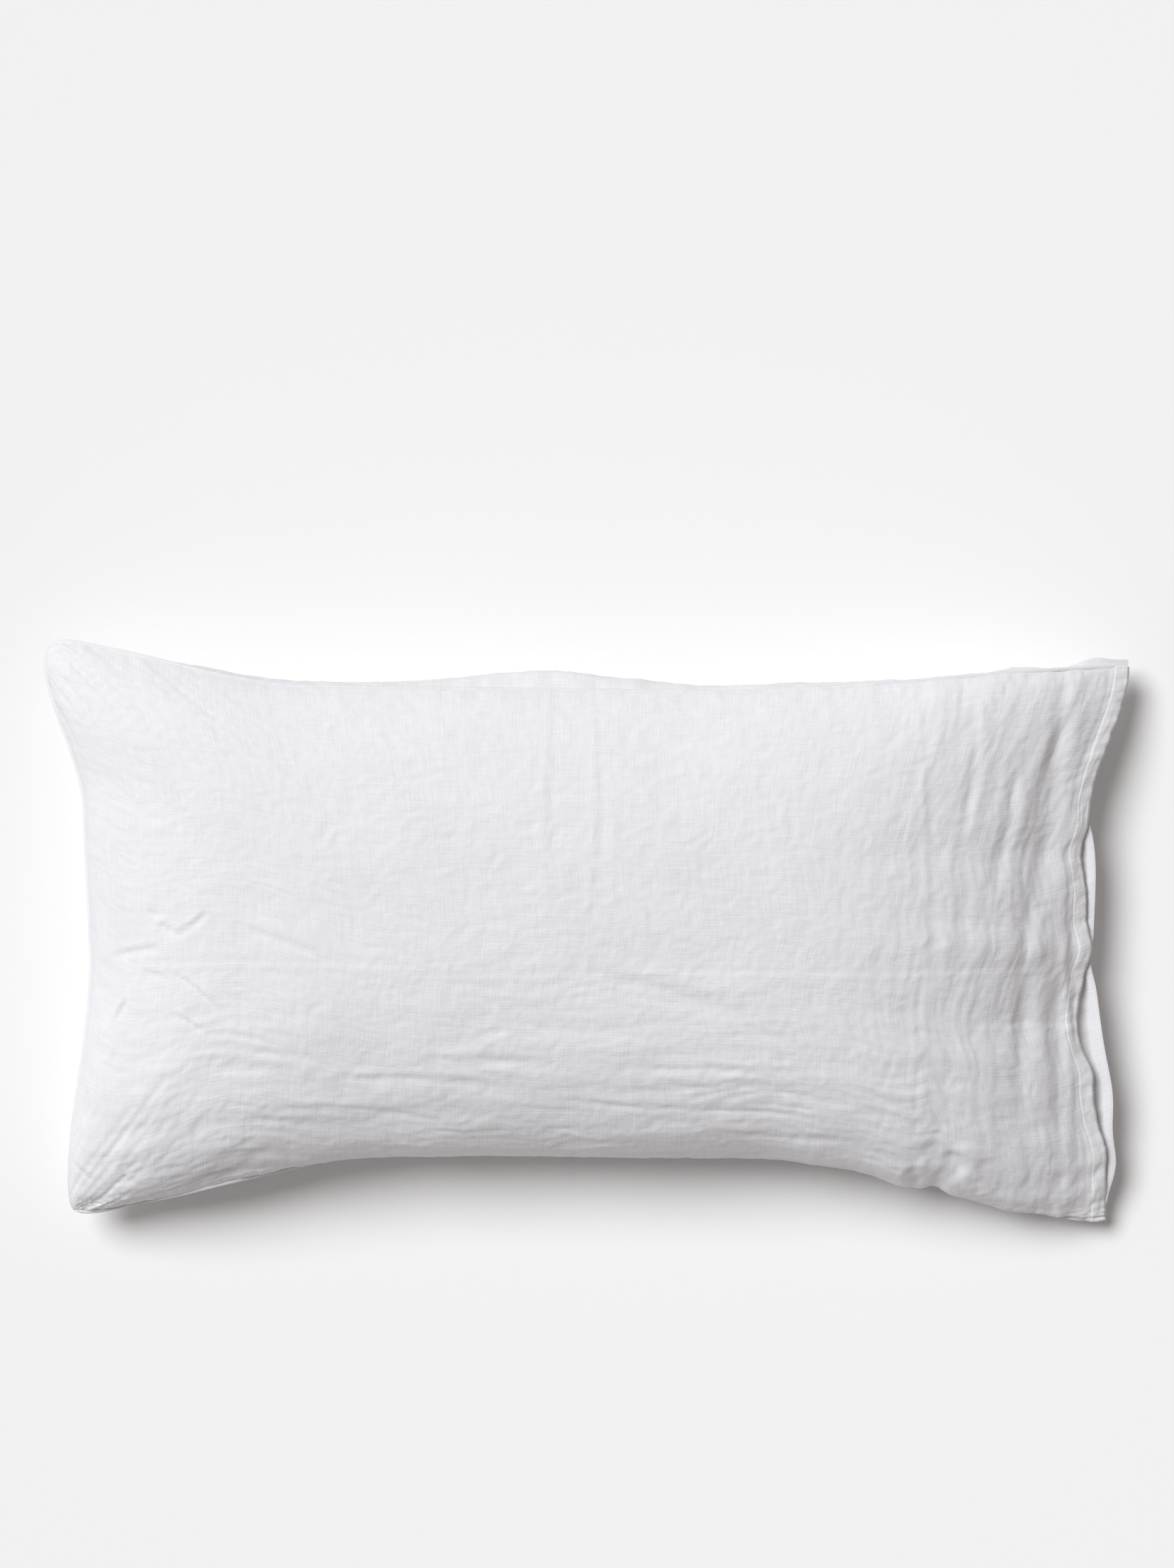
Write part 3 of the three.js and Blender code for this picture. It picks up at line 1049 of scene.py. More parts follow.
@dataclass(frozen=True)
class FibreFinish:
    """Lofted polyester fibre of the filling."""

    name: str = "lofted_fibre"
    slot: Slot = Slot.FIBRE
    colour: Colour = (0.88, 0.88, 0.86)

    def make(self) -> bpy.types.Material:
        """Build the material.

        Returns:
            The finished material.
        """
        n = Nodes(self.name)
        strands = n.speckle(n.body_place((90.0, 420.0, 420.0)), 6.0, 0.7)
        strands.inputs["Distortion"].default_value = 2.5
        tufts = n.speckle(n.body_place((28.0, 28.0, 28.0)), 4.0, 0.6)
        colour = n.ramp(strands, (0.25, tinted(self.colour, 0.86)), (0.6, self.colour))
        relief = n.relief((tufts, 0.006, 0.5), (strands, 0.002, 0.7))
        sheen = {"Sheen_Weight": 0.3, "Sheen_Roughness": 0.7}
        return n.finish(colour, relief, Roughness=1.0, IOR=1.4, Specular_IOR_Level=0.1, **sheen)


@dataclass(frozen=True)
class LabelFinish:
    """Woven satin ribbon of the care labels, left blank."""

    name: str = "woven_label"
    slot: Slot = Slot.LABEL
    colour: Colour = (0.88, 0.87, 0.83)

    def make(self) -> bpy.types.Material:
        """Build the material.

        Returns:
            The finished material.
        """
        n = Nodes(self.name)
        rib = n.speckle(n.cloth_place(60.0, 2600.0), 1.0, 0.5)
        wear = n.speckle(n.cloth_place(70.0, 70.0), 3.0, 0.5)
        colour = n.ramp(wear, (0.3, tinted(self.colour, 0.95)), (0.7, self.colour))
        colour = n.darkened(colour, n.ramp(rib, (0.35, (0.94, 0.94, 0.93)), (0.65, WHITE)))
        relief = n.relief((rib, 0.0001, 0.4))
        return n.finish(colour, relief, Roughness=0.45, Sheen_Weight=0.05, Sheen_Roughness=0.3, IOR=1.5)


FINISHES = (
    LinenFinish(),
    LinenFinish("linen_hem", Slot.LINEN_HEM, (0.868, 0.866, 0.880)),
    ThreadFinish(),
    TickingFinish(),
    FibreFinish(),
    LabelFinish(),
)


@dataclass
class Finishes:
    """Every material of the pillow, made once."""

    made: dict[Slot, bpy.types.Material] = field(default_factory=dict)

    def of(self, slot: Slot) -> bpy.types.Material:
        """The material of a slot."""
        if slot not in self.made:
            self.made[slot] = next(f for f in FINISHES if f.slot is slot).make()
        return self.made[slot]


# ---- pieces ----


@dataclass
class Workshop:
    """Turns grids of points into finished pieces."""

    finishes: Finishes

    def cloth(
        self,
        name: str,
        points: np.ndarray,
        cloth: tuple[np.ndarray, np.ndarray],
        slot: Slot,
        flip: bool = False,
        around: bool = False,
    ) -> bpy.types.Object:
        """Make a piece from a grid of points.

        Args:
            name: Name of the piece.
            points: Grid of shape (m, n, 3).
            cloth: Flat cloth coordinates of each point, in metres.
            slot: The finish.
            flip: Turn the faces to the other side.
            around: Close the grid's second direction into a tube.

        Returns:
            The new object.
        """
        m, n = points.shape[:2]
        last = n if around else n - 1
        i, j = np.meshgrid(np.arange(m - 1), np.arange(last), indexing="ij")
        k = (j + 1) % n
        corners = [i * n + j, (i + 1) * n + j, (i + 1) * n + k, i * n + k]
        if flip:
            corners.reverse()
        quads = np.stack(corners, axis=-1).reshape(-1, 4)
        mesh = bpy.data.meshes.new(name)
        mesh.from_pydata(points.reshape(-1, 3).tolist(), [], quads.tolist())
        layer = mesh.uv_layers.new(name="cloth")
        flat = np.stack([c.reshape(-1) for c in cloth], axis=-1)
        layer.uv.foreach_set("vector", flat[quads.reshape(-1)].astype(np.float32).reshape(-1))
        mesh.polygons.foreach_set("use_smooth", np.ones(len(quads), dtype=bool))
        mesh.materials.append(self.finishes.of(slot))
        mesh.update()
        return link(bpy.data.objects.new(name, mesh))

    def strip(
        self,
        name: str,
        upper: np.ndarray,
        lower: np.ndarray,
        cloth: tuple[np.ndarray, np.ndarray],
        slot: Slot,
    ) -> bpy.types.Object:
        """Make a closed band between two grids of the same size.

        Args:
            name: Name of the piece.
            upper: Points of the outer face, shape (m, n, 3).
            lower: Points of the inner face.
            cloth: Flat cloth coordinates of the outer face.
            slot: The finish.

        Returns:
            The new object.
        """
        loop = np.concatenate([upper, lower[:, ::-1]], axis=1)
        wide = np.concatenate([cloth[1], cloth[1][:, ::-1]], axis=1)
        long = np.concatenate([cloth[0], cloth[0][:, ::-1]], axis=1)
        piece = self.cloth(name, loop, (long, wide), slot, around=True)
        m, n = loop.shape[:2]
        with edited(piece.data) as work:
            for row in (0, (m - 1) * n):
                for k in range(n // 2 - 1):
                    quad = [row + k, row + k + 1, row + n - 2 - k, row + n - 1 - k]
                    work.faces.new([work.verts[q] for q in quad]).smooth = True
        return piece

    def tube(
        self,
        name: str,
        path: np.ndarray,
        across: np.ndarray,
        up: np.ndarray,
        size: tuple[float, float],
        slot: Slot,
        sides: int = 10,
        closed: bool = False,
    ) -> bpy.types.Object:
        """Make a rounded seam or piping along a path.

        Args:
            name: Name of the piece.
            path: Points of shape (m, 3).
            across: Direction of the wider radius at each point.
            up: Direction of the other radius.
            size: Radii across and up.
            slot: The finish.
            sides: Points around the section.
            closed: Join the last point to the first.

        Returns:
            The new object.
        """
        angle = np.linspace(0, 2 * math.pi, sides, endpoint=False)
        taper = np.ones(len(path))
        if not closed:
            from_start = np.arange(len(path))
            taper = np.clip(np.minimum(from_start, from_start[::-1]) / 3.0, 0.05, 1) ** 0.5
        ring = (
            across[:, None] * (np.cos(angle) * size[0])[None, :, None]
            + up[:, None] * (np.sin(angle) * size[1])[None, :, None]
        )
        points = path[:, None] + ring * taper[:, None, None]
        if closed:
            points = np.concatenate([points, points[:1]], axis=0)
        cloth = np.meshgrid(distances(points.mean(axis=1)), angle * max(size), indexing="ij")
        piece = self.cloth(name, points, tuple(cloth), slot, around=True)
        with edited(piece.data) as work:
            if closed:
                bmesh.ops.remove_doubles(work, verts=work.verts, dist=SAME_POINT)
            else:
                for first in (0, (len(points) - 1) * sides):
                    work.faces.new([work.verts[first + k] for k in range(sides)])
        return piece


@dataclass
class RunningStitch:
    """A Geometry Nodes tree that lays stitches along a path at an even pitch."""

    pitch: float = 0.0030
    length: float = 0.0017
    thread: float = 0.00018
    seed: int = 7
    shortest: float = 0.82
    longest: float = 1.12

    def tree(self, material: bpy.types.Material) -> tuple[bpy.types.NodeTree, dict[str, str]]:
        """Build the tree.

        Args:
            material: The thread's material.

        Returns:
            The tree, and its inputs' identifiers by name.
        """
        tree = bpy.data.node_groups.new("running_stitch", "GeometryNodeTree")
        face = tree.interface
        face.new_socket("Path", in_out="INPUT", socket_type="NodeSocketGeometry")
        face.new_socket("Stitches", in_out="OUTPUT", socket_type="NodeSocketGeometry")
        ids = {}
        for name in ("Pitch", "Stitch Length", "Thread Radius"):
            ids[name] = face.new_socket(name, in_out="INPUT", socket_type="NodeSocketFloat").identifier
        ids["Seed"] = face.new_socket("Seed", in_out="INPUT", socket_type="NodeSocketInt").identifier
        add = tree.nodes.new
        given = add("NodeGroupInput")
        result = add("NodeGroupOutput")
        curve = add("GeometryNodeMeshToCurve")
        even = add("GeometryNodeResampleCurve")
        even.mode = "LENGTH"
        points = add("GeometryNodeCurveToPoints")
        points.mode = "EVALUATED"
        stitch = add("GeometryNodeMeshUVSphere")
        stitch.inputs["Segments"].default_value = 6
        stitch.inputs["Rings"].default_value = 5
        stitch.inputs["Radius"].default_value = 1.0
        place = add("GeometryNodeInstanceOnPoints")
        wobble = add("FunctionNodeRandomValue")
        wobble.data_type = "FLOAT"
        wobble.inputs[2].default_value = self.shortest
        wobble.inputs[3].default_value = self.longest
        half = add("ShaderNodeMath")
        half.operation = "MULTIPLY"
        half.inputs[1].default_value = 0.5
        varied = add("ShaderNodeMath")
        varied.operation = "MULTIPLY"
        size = add("ShaderNodeCombineXYZ")
        real = add("GeometryNodeRealizeInstances")
        shade = add("GeometryNodeSetShadeSmooth")
        paint = add("GeometryNodeSetMaterial")
        paint.inputs["Material"].default_value = material
        wires = (
            (given, "Path", curve, "Mesh"),
            (curve, "Curve", even, "Curve"),
            (given, "Pitch", even, "Length"),
            (even, "Curve", points, "Curve"),
            (points, "Points", place, "Points"),
            (points, "Rotation", place, "Rotation"),
            (stitch, "Mesh", place, "Instance"),
            (given, "Stitch Length", half, 0),
            (half, 0, varied, 0),
            (wobble, 1, varied, 1),
            (given, "Seed", wobble, "Seed"),
            (given, "Thread Radius", size, "X"),
            (given, "Thread Radius", size, "Y"),
            (varied, 0, size, "Z"),
            (size, 0, place, "Scale"),
            (place, "Instances", real, "Geometry"),
            (real, "Geometry", shade, "Geometry"),
            (shade, "Geometry", paint, "Geometry"),
            (paint, "Geometry", result, "Stitches"),
        )
        for source, out, target, into in wires:
            tree.links.new(source.outputs[out], target.inputs[into])
        return tree, ids

    def sew(self, name: str, path: np.ndarray, material: bpy.types.Material) -> bpy.types.Object:
        """Sew along a path.

        Args:
            name: Name of the piece.
            path: Points of shape (m, 3).
            material: The thread's material.

        Returns:
            A plain mesh of the stitches.
        """
        guide = bpy.data.meshes.new(name + "_path")
        edges = [(k, k + 1) for k in range(len(path) - 1)]
        guide.from_pydata(path.tolist(), edges, [])
        holder = link(bpy.data.objects.new(name + "_path", guide))
        tree, ids = self.tree(material)
        modifier = holder.modifiers.new("stitches", "NODES")
        modifier.node_group = tree
        modifier[ids["Pitch"]] = self.pitch
        modifier[ids["Stitch Length"]] = self.length
        modifier[ids["Thread Radius"]] = self.thread
        modifier[ids["Seed"]] = self.seed
        bpy.context.view_layer.update()
        evaluated = holder.evaluated_get(bpy.context.evaluated_depsgraph_get())
        mesh = bpy.data.meshes.new_from_object(evaluated)
        mesh.name = name
        if not mesh.materials:
            mesh.materials.append(material)
        bpy.data.objects.remove(holder)
        return link(bpy.data.objects.new(name, mesh))


def join_frame(
    pieces: dict[str, bpy.types.Object], body: str
) -> None:
    """Name pieces, let them ride a body and stand for their nodes.

    Args:
        pieces: Piece for each node.
        body: The body that they ride.
    """
    for node, piece in pieces.items():
        piece.name = "sewn_" + node
        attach(piece, body)
        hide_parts(node)
        log.info("%s piece %s: %d faces", body, node, len(piece.data.polygons))


# ---- the pillowcase ----


@dataclass
class Pillowcase:
    """The linen case: two panels, a hemmed mouth with a tuck flap behind it, seams, tacks and a label."""

    form: CaseForm
    shop: Workshop
    front_steps: tuple[int, int] = (420, 232)
    back_steps: tuple[int, int] = (300, 200)
    hem_width: float = 0.0185
    stitch_inset: float = 0.0130
    flap_length: float = 0.150
    seam_radius: tuple[float, float] = (0.0019, 0.0011)
    seam_end: float = 0.012
    squash_keep: float = 0.17
    flap_depth: float = 0.0018
    care: CareLabel = CareLabel("case_care_label", (0.025, 0.038), 0.004)
    pieces: dict[str, bpy.types.Object] = field(default_factory=dict)
    front_points: np.ndarray | None = None
    front_base: np.ndarray | None = None
    front_lay: Lay | None = None

    def front_relief(self, points: np.ndarray, lay: Lay) -> np.ndarray:
        """Height of every fold, crease and crinkle of the front panel above its smooth form.

        Args:
            points: The smooth panel.
            lay: Its grid.

        Returns:
            Heights along the panel's normals.
        """
        u, v = lay.grid
        s, t = lay.cloth
        x, y = points[..., 0], points[..., 1]
        relief = np.zeros_like(x)
        # Uneven filling.
        relief += 0.0014 * noise(s / 0.16, t / 0.12, 3) * (1 - u**8) * (1 - v**8)
        relief += 0.0006 * noise(s / 0.06, t / 0.05, 4) * (1 - u**8) * (1 - v**8)
        # Gathers at the mouth, which run across the pillow.
        mouth = smooth(0.20, 0.36, x)
        lean = s - 0.14 * t + 0.006 * noise(s / 0.09, t / 0.09, 21)
        folds = noise(lean / 0.021, t / 0.15, 22) * (0.6 + 0.8 * np.abs(noise(s / 0.05, t / 0.08, 24)))
        relief += 0.0016 * mouth * folds
        relief += 0.0006 * smooth(0.10, 0.30, x) * crumple(lean / 0.017, t / 0.07, 23, 3)
        # Wrinkles along the lower flank.
        low = smooth(0.02, -0.12, y)
        patch = 0.35 + 0.65 * smooth(-0.15, 0.35, noise(s / 0.11, t / 0.07, 32))
        wrinkles = crumple((s + 0.25 * t) / 0.060, t / 0.011, 31, 3)
        relief += 0.0010 * low * patch * wrinkles * (1 - 0.7 * mouth)
        relief += 0.0012 * low * noise((s + 0.4 * t) / 0.085, t / 0.020, 33) * (1 - v**8)
        # Fine crinkle of washed linen.
        relief += 0.00042 * crumple(s / 0.022, t / 0.012, 41, 3)
        relief += 0.00026 * crumple(s / 0.009, t / 0.013, 42, 2)
        # Puckers from the seams.
        cloth_across, cloth_along = 0.47, 0.90
        upper_gap = (1 - v) * 0.5 * cloth_across
        lower_gap = (1 + v) * 0.5 * cloth_across
        closed_gap = (1 + u) * 0.5 * cloth_along
        pucker_x = noise(s / 0.017, t / 0.10, 51) + 0.6 * noise(s / 0.008, t / 0.05, 52)
        pucker_y = noise(s / 0.10, t / 0.015, 53) + 0.6 * noise(s / 0.05, t / 0.008, 54)
        relief += 0.0014 * pucker_x * np.exp(-upper_gap / 0.014)
        relief += 0.0018 * pucker_x * np.exp(-lower_gap / 0.020)
        relief += 0.0014 * pucker_y * np.exp(-closed_gap / 0.016)
        # The hem is a little longer than the cloth it holds, so it ripples.
        run = lay.along[-1] - s
        hem = smooth(1.5 * self.hem_width, 0.6 * self.hem_width, run)
        relief += (
            0.0009 * hem * noise(t / 0.0085, run / 0.025, 71)
            + 0.0008 * hem * noise(t / 0.024, run / 0.04, 72)
        )
        relief -= 0.0003 * bump(1.15 * self.hem_width, 0.0030, run)
        for crease in FRONT_CREASES:
            relief += crease.relief(x, y)
        return relief

    def build(self) -> None:
        """Build every piece of the case."""
        self.panels()
        self.hem()
        self.flap()
        self.seams()
        self.tacks()
        self.label()
        self.declare()

    def panels(self) -> None:
        """Build the front and the back panel."""
        form = self.form
        lay = form.lay_out(self.front_steps, False)
        u, v = lay.grid
        smooth_points = form.place(u, form.turn_of(u, v))
        normals = grid_normals(smooth_points)
        relief = self.front_relief(smooth_points, lay)
        held = (1 - np.clip(-u, 0, 1) ** 40) * (1 - np.abs(v) ** 60)
        points = smooth_points + normals * (relief * held)[..., None]
        self.front_base = points.copy()
        # The hemmed mouth edge stands clear of the flap.
        w = form.across(form.turn_of(u, v))
        lift = (0.0042 + 0.0026 * smooth(0.2, -0.6, v)) * np.clip(1 - w**4, 0, 1)
        points[..., 2] += lift * smooth(0.925, 1.01, u)
        self.front_points = points
        self.front_lay = lay
        self.pieces["front_panel"] = self.shop.cloth("front_panel", points, lay.cloth, Slot.LINEN)

        lay = form.lay_out(self.back_steps, True, form.fold, form.fold_waves)
        u, v = lay.grid
        points = form.place(u, form.turn_under(u, v), form.fold, form.fold_waves)
        x = points[..., 0]
        # The back panel bellies out above the upper seam.
        belly = 0.011 * bump(-0.030, 0.080, x) + 0.002 * bump(0.165, 0.03, x)
        belly += 0.0035 * bump(0.352, 0.020, x) - 0.0035 * bump(0.387, 0.008, x)
        belly += 0.0045 * bump(0.416, 0.015, x)
        points[..., 1] += belly * smooth(0.60, 0.84, v) * (1 - smooth(0.88, 1.0, v))
        s, t = lay.cloth
        normals = -grid_normals(points)
        edge = np.exp(-(1 - np.abs(v)) * 0.24 / 0.02) + np.exp(-(1 + u) * 0.45 / 0.02)
        lift = 0.0021 * edge * (noise(s / 0.016, t / 0.05, 61) + 0.5 * crumple(s / 0.03, t / 0.02, 62))
        lift += 0.0012 * crumple(s / 0.06, t / 0.03, 63) + 0.0005 * crumple(s / 0.02, t / 0.013, 64)
        held = (1 - np.abs(u) ** 14) * (1 - np.abs(v) ** 40)
        points = points + normals * (lift * held)[..., None]
        points[..., 2] = np.maximum(points[..., 2], 0.0004)
        self.pieces["back_panel"] = self.shop.cloth("back_panel", points, lay.cloth, Slot.LINEN, flip=True)

    def hem(self) -> None:
        """Build the hem band along the front panel's mouth edge, and its stitching."""
        lay = self.front_lay
        run = lay.along[-1] - lay.along
        rows = np.where(run < self.hem_width)[0]
        top = self.front_points[rows]
        normals = grid_normals(self.front_points)[rows]
        back = run[rows] / self.hem_width
        swell = 0.0003 + 0.0003 * np.sin(np.clip(back, 0, 1) * math.pi)[:, None]
        swell = swell - 0.0002 * bump(self.stitch_inset / self.hem_width, 0.10, back)[:, None]
        swell = swell * smooth(0.0, 0.18, 1 - back)[:, None]
        outer = top + normals * swell[..., None]
        inner = top - normals * 0.0013
        # Its inner edge sinks into the panel.
        outer[0] = top[0] - normals[0] * 0.0012
        inner[0] = top[0] - normals[0] * 0.0026
        edge_out = unit(top[-1] - top[-2])
        outer[-1] = top[-1] + edge_out * 0.0008 + normals[-1] * 0.0002
        inner[-1] = top[-1] + edge_out * 0.0008 - normals[-1] * 0.0008
        long, wide = np.meshgrid(lay.along[rows], lay.across, indexing="ij")
        self.band("front_hem", outer, inner, (long, wide))
        row = int(np.argmin(np.abs(run[rows] - self.stitch_inset)))
        path = outer[row] - normals[row] * 0.00011
        self.sew("front_hem_stitching", path[4:-4], RunningStitch())

    def band(
        self, name: str, outer: np.ndarray, inner: np.ndarray, cloth: tuple[np.ndarray, np.ndarray]
    ) -> None:
        """Build a hem band between two grids whose second index runs across the pillow.

        Args:
            name: The piece's node.
            outer: Points of its outer face.
            inner: Points of its inner face.
            cloth: Flat cloth coordinates.
        """
        across = (1, 0, 2)
        faces = (outer.transpose(across), inner.transpose(across))
        self.pieces[name] = self.shop.strip(name, *faces, (cloth[0].T, cloth[1].T), Slot.LINEN_HEM)

    def sew(self, name: str, path: np.ndarray, stitch: RunningStitch) -> None:
        """Sew a line of stitches along a path."""
        self.pieces[name] = stitch.sew(name, path, self.shop.finishes.of(Slot.THREAD))

    def flap(self) -> None:
        """Build the tuck flap: the back panel turned in at the mouth and lying under the front panel."""
        form = self.form
        lay = self.front_lay
        run = lay.along[-1] - lay.along
        rows = np.where(run < self.flap_length)[0][::2]
        if rows[-1] != len(run) - 1:
            rows = np.append(rows, len(run) - 1)
        columns = np.arange(6, len(lay.v) - 6, 2)
        u, v = np.meshgrid(lay.u[rows], lay.v[columns], indexing="ij")
        base = form.place(u, form.turn_of(u, v))
        close = smooth(0.016, 0.0, run[rows])[:, None]
        lying = self.front_base[np.ix_(rows, columns)]
        facing = grid_normals(base)
        clear = (self.flap_depth * (1 - close))[..., None]
        under = lying + (base - lying) * close[..., None] - facing * clear
        # Towards the mouth the flap slides forward to the fold of the back panel.
        w = form.across(form.turn_of(u, v))
        fold_x = form.mouth_edge(w, form.fold, form.fold_waves)
        hem_x = form.mouth_edge(w, form.hem, form.hem_waves)
        forward = smooth(0.070, 0.0, run[rows])[:, None]
        shift = (fold_x - hem_x) * forward
        fall = np.clip(facing[..., 0] / np.maximum(facing[..., 2], 0.3), 0.0, 1.2)
        under[..., 0] += shift
        under[..., 2] -= 0.8 * fall * shift * (1 - close)
        under[..., 2] -= 0.0022 * smooth(0.060, 0.012, run[rows])[:, None] * (1 - close)
        cloth = tuple(np.meshgrid(lay.along[rows], lay.across[columns], indexing="ij"))
        self.pieces["tuck_flap"] = self.shop.cloth("tuck_flap", under, cloth, Slot.LINEN)
        # Its free edge carries a hem of its own.
        hem_rows = 9
        top = under[:hem_rows]
        n = grid_normals(under)[:hem_rows]
        upper = top + n * 0.0002
        lower = top - n * 0.0012
        lower[0] = top[0] - n[0] * 0.0002
        upper[0] = top[0]
        self.band("flap_hem", upper, lower, (cloth[0][:hem_rows], cloth[1][:hem_rows]))
        path = lower[5][3:-3] - n[5][3:-3] * 0.0001
        self.sew("flap_hem_stitching", path, RunningStitch(seed=11))

    def seam_path(self, side: Side, u: np.ndarray) -> np.ndarray:
        """Points of a side seam.

        Args:
            side: Which side.
            u: Places along it.

        Returns:
            Points of shape (m, 3).
        """
        form = self.form
        v = np.full_like(u, float(side.value))
        blend = np.clip((u - 0.9) / 0.1, 0, 1)[:, None]
        near = form.place(u, form.turn_of(u, v))
        far = form.place(u, form.turn_of(u, v), form.fold, form.fold_waves)
        return near * (1 - 0.5 * blend) + far * 0.5 * blend

    def side_seam(self, side: Side, u: np.ndarray) -> tuple[np.ndarray, np.ndarray, np.ndarray]:
        """Points of a side seam, with the directions out of the case and up.

        Args:
            side: Which side.
            u: Places along it.

        Returns:
            Points, outward and upward directions, each of shape (m, 3).
        """
        path = self.seam_path(side, u)
        along = unit(np.gradient(path, axis=0))
        out = unit(np.cross(along, (0, 0, 1.0)) * -side.value)
        return path, out, unit(np.cross(out, along) * side.value)

    def seams(self) -> None:
        """Build the three seams."""
        fine = np.sin(np.linspace(-math.pi / 2, math.pi / 2, 2001))
        for side, name in ((Side.LOWER, "lower_side_seam"), (Side.UPPER, "upper_side_seam")):
            u, run = even_places(self.seam_path(side, fine), fine, 420)
            path, out, up = self.side_seam(side, u[run < run[-1] - self.seam_end])
            wave = 0.0004 * noise(path[:, 0] / 0.014, path[:, 1] * 0 + 3.0, 81 + side.value)
            path = path + up * wave[:, None]
            self.pieces[name] = self.shop.tube(name, path, out, up, self.seam_radius, Slot.LINEN)
        turn = np.linspace(0.0, math.pi, 241)
        u = np.full_like(turn, -1.0)
        path = resampled(self.form.place(u, turn), 221)
        along = unit(np.gradient(path, axis=0))
        out = unit(np.cross((0, 0, 1.0), along))
        up = unit(np.cross(along, out))
        self.pieces["closed_end_seam"] = self.shop.tube(
            "closed_end_seam", path, out, up, self.seam_radius, Slot.LINEN
        )

    def tacks(self) -> None:
        """Build the bar tacks that end the side seams at the mouth."""
        for side, name in ((Side.LOWER, "mouth_tack_lower"), (Side.UPPER, "mouth_tack_upper")):
            path, out, up = self.side_seam(side, np.linspace(0.955, 0.978, 26))
            # The needle swings between two lines, two swings to each point of the seam.
            swing = np.arange(2 * len(path))
            place = np.minimum(swing / 2.0, len(path) - 1.0)
            at = place.astype(int)
            points = np.arange(len(path))
            base = np.stack([np.interp(place, points, path[:, c]) for c in range(3)], axis=-1)
            inside = np.where(swing % 2, 0.0002, 0.0042)[:, None]
            stitch = RunningStitch(pitch=0.0016, length=0.0022, thread=0.00035, seed=5)
            self.sew(name, base - out[at] * inside + up[at] * 0.0009, stitch)

    def label(self) -> None:
        """Build the care label that hangs in from the lower side seam, inside the case."""
        form = self.form
        u, v = self.care.grid(form)
        points = form.place(u, form.turn_of(u, v))
        n = grid_normals(points)
        sag = 0.0030 + 0.0006 * np.sin(u * 60) * (v + 1)
        outer = points - n * sag[..., None]
        inner = outer - n * RIBBON
        self.pieces[self.care.node] = self.care.ribbon(self.shop, form, outer, inner)

    def declare(self) -> None:
        """Join every piece to the frame."""
        join_frame(self.pieces, CASE_BODY)
        for piece in self.pieces.values():
            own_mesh(piece)


